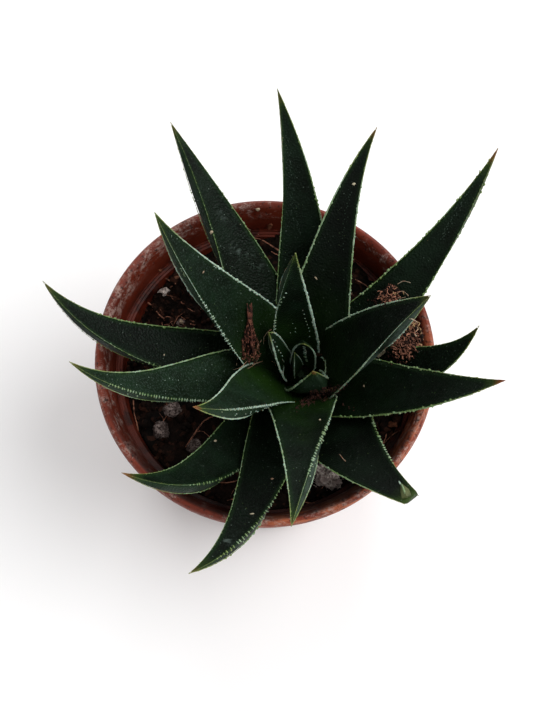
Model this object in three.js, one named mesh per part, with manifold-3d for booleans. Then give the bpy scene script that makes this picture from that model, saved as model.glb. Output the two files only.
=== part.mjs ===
// A potted haworthia: a rosette of keeled, toothed leaves on a short stem, in a round plastic pot of soil.
// Millimetres, +Z up, with the origin at the middle of the pot's underside. -Y is the front.
import * as THREE from "three";
import { mergeVertices } from "three/addons/utils/BufferGeometryUtils.js";
import Module from "manifold-3d";

const wasm = await Module();
wasm.setup();

// Clearance between pieces that touch, and how far a cut may stray from its exact line.
const GAP = 0.3;
const CUT_TOLERANCE = 0.08;

// The pot.
const POT_HEIGHT = 92;
const POT_SIDES = 48;
const RIM_RADIUS = 52.5;
const LIP_WIDTH = 3.4;
const LIP_DROP = 4.6;
const COLLAR_HEIGHT = 14;
const COLLAR_INNER_RADIUS = 47.2;
const COLLAR_OUTER_RADIUS = 50.4;
const LEDGE_DEPTH = 12.4;
const SHOULDER_DEPTH = 15.6;
const SHOULDER_RADIUS = 44.8;
const WALL = 1.8;
const FOOT_RADIUS = 37.5;
const FLOOR_Z = 3.6;
const RECESS_HEIGHT = 1.5;
const RECESS_INNER_RADIUS = 12;
const RECESS_OUTER_RADIUS = 31;
const RIB_COUNT = 3;
const RIB_PITCH = 0.75;
const RIB_DROP = 0.6;
const DRAIN_RADIUS = 3.5;
const DRAIN_CIRCLE_RADIUS = 22;
const DRAIN_COUNT = 6;

// The soil: its surface's depth under the lip and slope, and the dish in it under the crown.
const SOIL_DEPTH = 15.5;
const SOIL_SLOPE = [0.07, 0.04];
const DISH_DEPTH = 4;
const DISH_RADIUS = 18;
const SOIL_REACH = 54;
const SOIL_CELLS = 12;

// The plant: the crown is the point that the leaves' sizes are measured from.
const CROWN = new THREE.Vector3(11, -2, POT_HEIGHT - 12);
const STEM_RADIUS = 4;
const STEM_BOTTOM = -26;
const STEM_TOP = 0;

// The leaves. The lowest one starts at LOWEST_FOOT, and each next one FOOT_STEP higher.
const LEAF_STEPS = 13;
const YOUNG_LEAVES = 4;
const YOUNG_LEAF_STEPS = 10;
const LOWEST_FOOT = -9.5;
const FOOT_STEP = 0.5;

// Up to CLASP_END of its length a leaf narrows to clasp the stem, to this share of its width.
const CLASP_END = 0.18;
const INNER_LEAVES = 7;
const OUTER_CLASP = 0.6;
const INNER_CLASP = 0.9;

// A leaf's depth, flanks and keel, as shares of its half width or its depth.
const DEPTH_AT_FOOT = 0.56;
const DEPTH_AT_TIP = 0.96;
const FLANK_WIDTH = 0.62;
const FLANK_DEPTH = 0.56;
const FLANK_BULGE = 1.06;

// The teeth along a leaf's margins and the outer part of its keel.
const TOOTH_HEIGHT = 0.6;
const TOOTH_SHARE = 0.04;
const TOOTH_LENGTH = 0.9;
const KEEL_TEETH_FROM = 0.45;
const MARGIN_LINES = [0, 4];
const KEEL_LINE = 6;

// Each leaf, from the lowest to the innermost; each leaves the stem a step over the one before. turn is
// where its tip points, anticlockwise from +X, and reach and rise are its tip's distance from the stem and
// its height over the crown. lift and end are its slopes at the foot and the tip, bow is how far it is bent
// sideways near the foot and near the tip, anticlockwise, and roll is its turn about its own line at the
// tip, which raises the anticlockwise margin. width is its widest, and a lower taper narrows it sooner.
// cup is the depth of its groove as a share of its half width, cut the share of its full length that is
// left, and root the foot's distance from the stem's middle. keel is where the keel runs, as a share of the
// half width to the anticlockwise side, and flank how far the margin over it lies inward, as such a share.
const LEAVES = [
  { turn: 96, reach: 71, rise: 54, lift: 40, end: 36, bow: [-5.5, -5.5],
    width: 18, taper: 2, roll: -14, keel: 0.95, flank: 0.15 },
  { turn: 2, reach: 50, rise: 42, lift: 36, end: 62, bow: [2, -12],
    width: 19, roll: 10, keel: -0.7, flank: 0.2 },
  { turn: 219, reach: 65, rise: 42, lift: 22, end: 50, bow: [3.5, 18],
    width: 16.5, taper: 2.4, roll: 15, keel: 0.85, flank: 0.25 },
  { turn: 44, reach: 80, rise: 46, lift: 38, end: 30, bow: [-7.5, -8],
    width: 21, taper: 1.4, roll: -12, keel: -0.6, flank: 0.12 },
  { turn: 303, reach: 55, rise: 34, lift: 36, end: 26, bow: [-2, -6],
    width: 30, taper: 1.4, cut: 0.86, keel: 0.9, flank: 0.1 },
  { turn: 169, reach: 76, rise: 44, lift: 28, end: 36, bow: [-2.5, 16],
    width: 19, roll: 15, keel: 0.8, flank: 0.2 },
  { turn: 122, reach: 73, rise: 50, lift: 40, end: 38, bow: [-1, -1],
    width: 22, taper: 1.4, roll: 25, keel: 0.95, flank: 0.25 },
  { turn: 245, reach: 75, rise: 38, lift: 34, end: 34, bow: [-0.5, 13.5],
    width: 18, roll: 15, keel: 0.8, flank: 0.25 },
  { turn: 341, reach: 57, rise: 56, lift: 44, end: 50, bow: [-1.5, -4.5],
    width: 22, taper: 1.7, keel: -0.65, flank: 0.15 },
  { turn: 70, reach: 63, rise: 52, lift: 60, end: 34, bow: [-1.5, 5.5],
    width: 25, taper: 1.1, roll: -10 },
  { turn: 190, reach: 66, rise: 50, lift: 44, end: 42, bow: [-4, 13],
    width: 20, taper: 1.5, roll: 15, keel: 0.8, flank: 0.2 },
  { turn: 146, reach: 50, rise: 62, lift: 58, end: 50, bow: [-1, 5],
    width: 24, taper: 1.4, roll: 15, keel: 0.9, flank: 0.2 },
  { turn: 266, reach: 57, rise: 48, lift: 68, end: 28, bow: [1, 3],
    width: 25, taper: 1.2, roll: 15, keel: 1, flank: 0.3 },
  { turn: 6, reach: 34, rise: 62, lift: 66, end: 60, bow: [1, 0],
    width: 22.5, roll: -10, keel: -0.7, flank: 0.18 },
  { turn: 221, reach: 40, rise: 57, lift: 62, end: 54, bow: [-6, 6.5],
    width: 18, roll: 15, keel: 0.85, flank: 0.2 },
  { turn: 98, reach: 18, rise: 57, lift: 74, end: 76, bow: [1, 2],
    width: 14.5, cup: 0.2, keel: 0.9, flank: 0.15 },
  { turn: 167, reach: 10.2, rise: 34, lift: 66, end: 80, bow: [-2, -2],
    width: 9, cup: 0.3, root: 2.5 },
  { turn: 288, reach: 4, rise: 19, lift: 50, end: 118,
    width: 13, taper: 2.6, cup: 0.35, root: 1.2 },
  { turn: 65, reach: 1.8, rise: 22, lift: 76, end: 108,
    width: 8, taper: 3, cup: 0.35, root: 1.6 },
  { turn: 150, reach: 2.5, rise: 18, lift: 84, end: 80,
    width: 5.5, taper: 1.5, root: 0.4 },
].map((leaf, i, all) => ({
  steps: i < all.length - YOUNG_LEAVES ? LEAF_STEPS : YOUNG_LEAF_STEPS,
  taper: 1.9,
  bow: [0, 0],
  roll: 0,
  keel: 0.75,
  flank: 0,
  clasp: i < all.length - INNER_LEAVES ? OUTER_CLASP : INNER_CLASP,
  cup: 0.14,
  cut: 1,
  root: STEM_RADIUS + GAP,
  ...leaf,
  name: `leaf_${String(i + 1).padStart(2, "0")}`,
  foot: LOWEST_FOOT + i * FOOT_STEP,
}));

// Pumice stones, half sunk in the soil.
const STONES = [
  { at: [19.5, -34.8, 78], size: [11, 8.5, 8.5], rough: 0.3, turn: -20, seed: 3 },
  { at: [-33, -18.5, 72.5], size: [6, 6.5, 6], rough: 0.14, turn: 30, seed: 5 },
  { at: [-29.5, -12, 73], size: [6.5, 5.5, 5.5], rough: 0.14, turn: 10, seed: 8 },
  { at: [-22, -24, 73], size: [6, 6, 5], rough: 0.16, turn: 50, seed: 12 },
  { at: [-33, 27, 74.5], size: [4.6, 3.4, 4], rough: 0.3, turn: 40, seed: 21 },
  { at: [-27, 16.5, 75], size: [3.6, 3.2, 3.4], rough: 0.2, turn: 0, seed: 30 },
].map((stone, i) => ({ ...stone, name: `pumice_${i + 1}` }));

// Clumps of coir caught among the leaves.
const CLUMPS = [
  { at: [-4.6, 5.9, 97.5], size: [5.5, 18, 5], rough: 0.3, lean: 33, seed: 9 },
  { at: [38.8, 18.6, 96], size: [7.5, 6, 4.5], rough: 0.35, turn: 20, seed: 14 },
  { at: [42.3, 4, 98], size: [11, 15, 9], rough: 0.35, turn: 10, seed: 17 },
  { at: [16.5, -11, 86], size: [11, 5, 6], rough: 0.35, turn: 12, seed: 25 },
].map((clump, i) => ({ ...clump, name: `coir_${i + 1}` }));

// A seeded random draw from 0 to 1.
function random(seed) {
  let state = seed;
  return () => {
    state = (state * 1664525 + 1013904223) % 4294967296;
    return state / 4294967296;
  };
}

// A closed geometry as a solid that can be cut, and back again.
function solidFrom(geometry) {
  const bare = geometry.clone();
  bare.deleteAttribute("normal");
  bare.deleteAttribute("uv");
  const merged = mergeVertices(bare, 1e-4);
  return new wasm.Manifold(
    new wasm.Mesh({
      numProp: 3,
      vertProperties: merged.attributes.position.array,
      triVerts: new Uint32Array(merged.index.array),
    }),
  );
}

function geometryFrom(solid) {
  const mesh = solid.getMesh();
  const geometry = new THREE.BufferGeometry();
  geometry.setAttribute("position", new THREE.BufferAttribute(mesh.vertProperties, 3));
  geometry.setIndex(new THREE.BufferAttribute(mesh.triVerts, 1));
  geometry.computeVertexNormals();
  return geometry;
}

// A solid with others cut out of it. Scraps that the cut leaves loose are dropped.
function without(solid, cutters) {
  const touching = cutters.filter((cutter) => solid.intersect(cutter).volume() > 0);
  if (!touching.length) return solid;
  const cut = touching.reduce((left, cutter) => left.subtract(cutter), solid);
  const bodies = cut.simplify(CUT_TOLERANCE).decompose();
  return bodies.reduce((largest, body) => (body.volume() > largest.volume() ? body : largest));
}

// One named piece of the plant.
function piece(name, geometry, color, roughness) {
  const material = new THREE.MeshStandardMaterial({ color, roughness, metalness: 0 });
  const mesh = new THREE.Mesh(geometry, material);
  mesh.name = name;
  return mesh;
}

// The pot's section, from the middle of the underside, out, up, over the lip and down inside.
function potProfile() {
  const top = POT_HEIGHT;
  const lipInner = RIM_RADIUS - LIP_WIDTH;
  const shoulderOuter = SHOULDER_RADIUS + WALL;
  const points = [
    [0, 0],
    [RECESS_INNER_RADIUS, 0],
    [RECESS_INNER_RADIUS + 1, RECESS_HEIGHT],
    [RECESS_OUTER_RADIUS, RECESS_HEIGHT],
    [RECESS_OUTER_RADIUS + 1, 0],
    [FOOT_RADIUS - 1, 0],
    [FOOT_RADIUS, 1.4],
    [shoulderOuter, top - SHOULDER_DEPTH - 1.2],
    [COLLAR_OUTER_RADIUS - 0.3, top - COLLAR_HEIGHT],
    [COLLAR_OUTER_RADIUS, top - 5],
    [RIM_RADIUS - 0.5, top - 4],
    [RIM_RADIUS, top - 3],
    [RIM_RADIUS, top - 1.6],
    [RIM_RADIUS - 0.6, top - 0.4],
    [RIM_RADIUS - 1.6, top],
    [lipInner + 0.7, top],
    [lipInner, top - 0.6],
    [COLLAR_INNER_RADIUS + 0.5, top - LIP_DROP],
    [COLLAR_INNER_RADIUS, top - LEDGE_DEPTH],
  ];
  for (let rib = 0; rib < RIB_COUNT; rib++) {
    const radius = COLLAR_INNER_RADIUS - 0.5 - rib * RIB_PITCH;
    const z = top - LEDGE_DEPTH - rib * RIB_PITCH;
    points.push([radius, z], [radius - 0.05, z - RIB_DROP]);
  }
  points.push(
    [SHOULDER_RADIUS, top - SHOULDER_DEPTH],
    [FOOT_RADIUS - WALL, FLOOR_Z + 1],
    [FOOT_RADIUS - WALL - 1, FLOOR_Z],
    [0, FLOOR_Z],
  );
  return points.map(([r, z]) => new THREE.Vector2(r, z));
}

// A profile turned about Z. LatheGeometry turns about Y, so its axis is stood up.
function turned(profile, sides) {
  return new THREE.LatheGeometry(profile, sides).rotateX(Math.PI / 2);
}

// The pot, with drain holes in the ring between its foot and its flat middle.
function pot() {
  let solid = solidFrom(turned(potProfile(), POT_SIDES));
  for (let i = 0; i < DRAIN_COUNT; i++) {
    const angle = ((i + 0.5) * 2 * Math.PI) / DRAIN_COUNT;
    const drill = new THREE.CylinderGeometry(DRAIN_RADIUS, DRAIN_RADIUS, 4 * FLOOR_Z, 16);
    drill.rotateX(Math.PI / 2);
    drill.translate(DRAIN_CIRCLE_RADIUS * Math.cos(angle), DRAIN_CIRCLE_RADIUS * Math.sin(angle), 0);
    solid = solid.subtract(solidFrom(drill));
  }
  return piece("pot", geometryFrom(solid), 0x9c4a38, 0.75);
}

// The room inside the pot, clear of its wall.
function cavity() {
  const top = POT_HEIGHT;
  const profile = [
    [0, FLOOR_Z + GAP],
    [FOOT_RADIUS - WALL - 1 - GAP, FLOOR_Z + GAP],
    [FOOT_RADIUS - WALL - GAP, FLOOR_Z + 1 + GAP],
    [SHOULDER_RADIUS - GAP, top - SHOULDER_DEPTH],
    [COLLAR_INNER_RADIUS - 2 * RIB_PITCH - 3 * GAP, top - LEDGE_DEPTH - 2 * RIB_PITCH - GAP],
    [COLLAR_INNER_RADIUS - 3 * GAP, top - LEDGE_DEPTH],
    [COLLAR_INNER_RADIUS - 3 * GAP, top - LIP_DROP],
    [0, top - LIP_DROP],
  ];
  return solidFrom(turned(profile.map(([r, z]) => new THREE.Vector2(r, z)), POT_SIDES));
}

// The soil's surface: low at the left, lumpy, and a little dished under the crown.
function soilTop(x, y) {
  const level = POT_HEIGHT - SOIL_DEPTH + SOIL_SLOPE[0] * x + SOIL_SLOPE[1] * y;
  const lumps =
    0.7 * Math.sin(0.31 * x + 0.4) * Math.cos(0.27 * y - 0.8) +
    0.4 * Math.sin(0.63 * x - 0.21 * y + 1.9) +
    0.3 * Math.cos(0.52 * y + 0.34 * x);
  const away = Math.hypot(x - CROWN.x, y - CROWN.y);
  return level + lumps - DISH_DEPTH * Math.exp(-((away / DISH_RADIUS) ** 2));
}

// A block wider than the pot, whose top is the soil's surface.
function soilBlock() {
  const height = POT_HEIGHT;
  const block = new THREE.BoxGeometry(2 * SOIL_REACH, 2 * SOIL_REACH, height, SOIL_CELLS, SOIL_CELLS, 1);
  block.translate(0, 0, height / 2);
  const points = block.attributes.position;
  for (let i = 0; i < points.count; i++) {
    if (points.getZ(i) > 0) points.setZ(i, soilTop(points.getX(i), points.getY(i)));
  }
  return solidFrom(block);
}

// The soil, with a plain hole for the stem and its surface pressed in under the leaves and stones.
function soil(pressing) {
  const hole = new THREE.CylinderGeometry(STEM_RADIUS + GAP, STEM_RADIUS + GAP, GAP - STEM_BOTTOM, 16);
  hole.rotateX(Math.PI / 2);
  hole.translate(CROWN.x, CROWN.y, CROWN.z + (STEM_BOTTOM - GAP) / 2);
  const filling = soilBlock().intersect(cavity());
  return piece("soil", geometryFrom(without(filling, [solidFrom(hole), ...pressing])), 0x3a2a20, 1);
}

// The short stem, its foot in the soil and its top narrowing between the young leaves.
function stem(leaves) {
  const profile = [
    [0, STEM_BOTTOM],
    [STEM_RADIUS * 0.7, STEM_BOTTOM],
    [STEM_RADIUS, STEM_BOTTOM + 3],
    [STEM_RADIUS, STEM_TOP - 7],
    [STEM_RADIUS * 0.5, STEM_TOP - 2],
    [STEM_RADIUS * 0.3, STEM_TOP],
    [0, STEM_TOP],
  ].map(([r, z]) => new THREE.Vector2(r, z));
  const post = turned(profile, 14).translate(CROWN.x, CROWN.y, CROWN.z);
  return piece("stem", geometryFrom(without(solidFrom(post), leaves)), 0x6f7a3c, 0.8);
}

// A leaf's half width at t, from 0 at the foot to 1 at the tip.
function halfWidth(leaf, t) {
  const share = t * leaf.cut;
  const foot = share < CLASP_END ? 1 - (1 - leaf.clasp) * (1 - share / CLASP_END) ** 2 : 1;
  return (leaf.width / 2) * (1 - share ** leaf.taper) * foot;
}

// Where a leaf's middle line is at t, and the directions along it, across it and up from its face.
function leafFrame(leaf, t) {
  const turn = THREE.MathUtils.degToRad(leaf.turn);
  const out = new THREE.Vector3(Math.cos(turn), Math.sin(turn), 0);
  const side = new THREE.Vector3(-Math.sin(turn), Math.cos(turn), 0);
  const up = new THREE.Vector3(0, 0, 1);
  const third = Math.hypot(leaf.reach - leaf.root, leaf.rise - leaf.foot) / 3;
  const lift = THREE.MathUtils.degToRad(leaf.lift);
  const end = THREE.MathUtils.degToRad(leaf.end);
  const knots = [
    [leaf.root, 0, leaf.foot],
    [leaf.root + third * Math.cos(lift), leaf.bow[0], leaf.foot + third * Math.sin(lift)],
    [leaf.reach - third * Math.cos(end), leaf.bow[1], leaf.rise - third * Math.sin(end)],
    [leaf.reach, 0, leaf.rise],
  ].map(([r, s, z]) =>
    CROWN.clone().addScaledVector(out, r).addScaledVector(side, s).addScaledVector(up, z),
  );
  const line = new THREE.CubicBezierCurve3(...knots);
  const point = line.getPoint(t);
  const along = line.getTangent(t);
  const roll = THREE.MathUtils.degToRad(leaf.roll * t);
  const across = side.clone().addScaledVector(along, -side.dot(along)).normalize();
  across.applyAxisAngle(along, roll);
  const normal = new THREE.Vector3().crossVectors(along, across);
  return { point, along, across, normal };
}

// Young leaves have smaller teeth.
function toothHeight(leaf) {
  return Math.min(TOOTH_HEIGHT, TOOTH_SHARE * leaf.width);
}

// The leaf's section: across it, positive to the anticlockwise side, and up from its margins.
// Grown by a clearance, it is also wide enough to hold the teeth.
function leafSection(leaf, t, grow) {
  const half = halfWidth(leaf, t);
  const deep = half * THREE.MathUtils.lerp(DEPTH_AT_FOOT, DEPTH_AT_TIP, t);
  const groove = half * leaf.cup;
  const keel = half * leaf.keel;
  const inset = half * (1 - leaf.flank);
  const flank = (inset + Math.abs(keel)) / 2 * FLANK_BULGE;
  const [left, right, leftFlank, rightFlank] =
    keel > 0 ? [inset, half, flank, half * FLANK_WIDTH] : [half, inset, half * FLANK_WIDTH, flank];
  const beyond = grow ? 1.5 * grow + toothHeight(leaf) : 0;
  const under = 1 + beyond / Math.hypot(keel, deep);
  return [
    [left + beyond, grow],
    [left * 0.5, grow - groove * 0.8],
    [0, grow - groove],
    [-right * 0.5, grow - groove * 0.8],
    [-right - beyond, grow],
    [-rightFlank - grow, -deep * FLANK_DEPTH - grow],
    [keel * under, -deep * under],
    [leftFlank + grow, -deep * FLANK_DEPTH - grow],
  ];
}

// A leaf as a solid, or that solid grown by a clearance and without its teeth.
function leafSolid(leaf, grow = 0) {
  const { steps } = leaf;
  const positions = [];
  const index = [];
  const add = (v) => positions.push(v.x, v.y, v.z) / 3 - 1;
  const place = (frame, [x, y]) =>
    frame.point.clone().addScaledVector(frame.across, x).addScaledVector(frame.normal, y);
  const rings = [];
  for (let i = 0; i < steps; i++) {
    const t = i / steps;
    const frame = leafFrame(leaf, t);
    if (i === 0) frame.point.addScaledVector(frame.along, -grow);
    const section = leafSection(leaf, t, grow);
    rings.push(section.map((corner) => add(place(frame, corner))));
  }
  const tipFrame = leafFrame(leaf, 1);
  const tip = add(tipFrame.point.clone().addScaledVector(tipFrame.along, grow));
  const count = rings[0].length;

  // The points along one line of the leaf from ring i to the next, with a tooth where there is one.
  function run(i, line) {
    const ends = [rings[i][line], rings[i + 1][line]];
    const toothed = MARGIN_LINES.includes(line) || (line === KEEL_LINE && i / steps > KEEL_TEETH_FROM);
    if (grow || !toothed || i < 2) return ends;
    const t = (i + 0.5) / steps;
    const frame = leafFrame(leaf, t);
    const corner = leafSection(leaf, t, 0)[line];
    const reach = Math.hypot(...corner);
    const outward = corner.map((c) => c * (1 + toothHeight(leaf) / reach));
    const middle = place(frame, corner);
    return [
      ends[0],
      add(middle.clone().addScaledVector(frame.along, -TOOTH_LENGTH / 2)),
      add(place(frame, outward)),
      add(middle.clone().addScaledVector(frame.along, TOOTH_LENGTH / 2)),
      ends[1],
    ];
  }

  for (let i = 0; i < steps - 1; i++) {
    const lines = rings[i].map((_, line) => run(i, line));
    for (let line = 0; line < count; line++) {
      const a = lines[line];
      const b = lines[(line + 1) % count];
      if (a.length > 2) {
        index.push(a[0], b[0], a[1], a[1], b[0], a[2], a[2], b[0], b[1], a[2], b[1], a[3], a[3], b[1], a[4]);
      } else if (b.length > 2) {
        index.push(a[0], b[0], b[1], a[0], b[1], b[2], a[0], b[2], a[1], a[1], b[2], b[3], a[1], b[3], b[4]);
      } else {
        index.push(a[0], b[0], a[1], a[1], b[0], b[1]);
      }
    }
  }
  const last = rings[steps - 1];
  const footFrame = leafFrame(leaf, 0);
  const foot = add(place(footFrame, [0, -1]).addScaledVector(footFrame.along, -2 * grow));
  for (let line = 0; line < count; line++) {
    const next = (line + 1) % count;
    index.push(last[line], last[next], tip);
    index.push(rings[0][next], rings[0][line], foot);
  }
  const geometry = new THREE.BufferGeometry();
  geometry.setAttribute("position", new THREE.Float32BufferAttribute(positions, 3));
  geometry.setIndex(index);
  return solidFrom(geometry);
}

// An irregular lump: a ball with each point moved in or out, stretched and turned.
function lump({ at, size, rough, turn = 0, lean = 0, detail = 2, seed }) {
  const ball = new THREE.IcosahedronGeometry(0.5, detail);
  ball.deleteAttribute("normal");
  ball.deleteAttribute("uv");
  const merged = mergeVertices(ball, 1e-4);
  const draw = random(seed);
  const points = merged.attributes.position;
  for (let i = 0; i < points.count; i++) {
    const scale = 1 + rough * (draw() - 0.5);
    points.setXYZ(i, points.getX(i) * scale, points.getY(i) * scale, points.getZ(i) * scale);
  }
  merged.scale(...size);
  merged.rotateX(THREE.MathUtils.degToRad(lean));
  merged.rotateZ(THREE.MathUtils.degToRad(turn));
  merged.translate(...at);
  return merged;
}

// Each leaf is trimmed where a leaf further in lies against it.
const grown = LEAVES.map((leaf) => leafSolid(leaf, GAP));
const leaves = LEAVES.map((leaf, i) => {
  const solid = without(leafSolid(leaf), grown.slice(i + 1));
  return piece(leaf.name, geometryFrom(solid), 0x2f4a34, 0.6);
});

const stones = STONES.map((stone) => piece(stone.name, lump(stone), 0xb8a596, 0.95));
const clumps = CLUMPS.map((clump) =>
  piece(clump.name, geometryFrom(without(solidFrom(lump(clump)), grown)), 0x7a5040, 1),
);
const beds = [...STONES, ...CLUMPS].map((bed) =>
  solidFrom(lump({ ...bed, size: bed.size.map((side) => side + 2.5 * GAP) })),
);

const plant = new THREE.Group();
plant.add(
  pot(),
  soil([...grown, ...beds]),
  stem(grown),
  ...leaves,
  ...stones,
  ...clumps,
);

export default plant;
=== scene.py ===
"""The look of a potted haworthia: fine leaves with beaded margins, a stained pot, peaty soil and coir.

Metres, +Z up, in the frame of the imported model. Sizes that come from the solids are given in millimetres.
"""

import math
import random

import bmesh
import bpy
from mathutils import Matrix, Vector, kdtree, noise


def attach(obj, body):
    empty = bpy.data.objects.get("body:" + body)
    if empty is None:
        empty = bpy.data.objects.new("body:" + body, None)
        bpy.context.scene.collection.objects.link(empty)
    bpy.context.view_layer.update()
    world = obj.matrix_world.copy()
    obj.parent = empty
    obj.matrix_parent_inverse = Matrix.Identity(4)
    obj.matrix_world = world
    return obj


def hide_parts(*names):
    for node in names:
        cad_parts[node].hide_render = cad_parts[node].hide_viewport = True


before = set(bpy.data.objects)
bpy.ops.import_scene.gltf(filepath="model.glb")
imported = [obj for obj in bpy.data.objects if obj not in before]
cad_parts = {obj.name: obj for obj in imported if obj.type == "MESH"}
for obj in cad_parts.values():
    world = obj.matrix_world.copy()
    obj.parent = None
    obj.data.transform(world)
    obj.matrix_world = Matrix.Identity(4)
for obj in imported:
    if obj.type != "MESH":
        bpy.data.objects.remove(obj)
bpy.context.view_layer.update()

bl_info = {
    "name": "Potted haworthia",
    "version": (1, 0, 0),
    "blender": (4, 5, 0),
    "location": "3D View > Sidebar > Haworthia",
    "description": "Builds the fine leaves, pot, soil, fibres and stones of a potted haworthia",
    "category": "Object",
}

MM = 0.001

# The photograph's frame in pixels, its focal length in them, and the camera that took it.
PHOTO_WIDTH = 533
PHOTO_HEIGHT = 711
FOCAL_PIXELS = 1304
CAMERA_PITCH = math.radians(72.7)
CAMERA_DISTANCE = 400
CAMERA_AIM = Vector((0.43, 0.157, 92))
LOOK = Vector((0, math.cos(CAMERA_PITCH), -math.sin(CAMERA_PITCH)))
CAMERA_PLACE = CAMERA_AIM - LOOK * CAMERA_DISTANCE

# The pot, in millimetres, and how finely its rounds and its holes are cut.
POT_HEIGHT = 92
RIM_RADIUS = 52.5
LIP_WIDTH = 3.4
LIP_DROP = 4.6
COLLAR_HEIGHT = 14
COLLAR_INNER_RADIUS = 47.2
COLLAR_OUTER_RADIUS = 50.4
LEDGE_DEPTH = 12.4
SHOULDER_DEPTH = 15.6
SHOULDER_RADIUS = 44.8
WALL = 1.8
FOOT_RADIUS = 37.5
FLOOR_Z = 3.6
RECESS_HEIGHT = 1.5
RECESS_INNER_RADIUS = 12
RECESS_OUTER_RADIUS = 31
RIB_COUNT = 3
RIB_PITCH = 0.75
RIB_DROP = 0.6
DRAIN_RADIUS = 3.5
DRAIN_CIRCLE_RADIUS = 22
DRAIN_COUNT = 6
DRILL_SIDES = 32
POT_SIDES = 160
POT_WELD = 0.01
SHARP_ANGLE = math.radians(38)

# The soil, in millimetres, with its crumbs and the loose fibres on it.
SOIL_DEPTH = 15.5
SOIL_SLOPE = (0.07, 0.04)
DISH_DEPTH = 4
DISH_RADIUS = 18
SOIL_SIDES = 120
SOIL_CUTS = 70
SOIL_CRUMBS = 1500
LARGE_CRUMB = 0.9
REDDISH_SHARE = 0.4
FIBRE_REACH = 43.5
LOOSE_FIBRES = 60

# The plant, in millimetres, and its leaves' sections, in shares of their length and half width.
CROWN = Vector((11, -2, POT_HEIGHT - 12))
STEM_RADIUS = 4
GAP = 0.3
LOWEST_FOOT = -9.5
FOOT_STEP = 0.5
CLASP_END = 0.18
INNER_LEAVES = 7
OUTER_CLASP = 0.6
INNER_CLASP = 0.9
DEPTH_AT_FOOT = 0.56
DEPTH_AT_TIP = 0.96
FLANK_WIDTH = 0.62
FLANK_DEPTH = 0.56
FLANK_BULGE = 1.06
FLANK_START = 0.42
FLANK_AT_TIP = 2.4
KEEL_AT_FOOT = 0.6
YOUNG_LEAVES = 4

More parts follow.
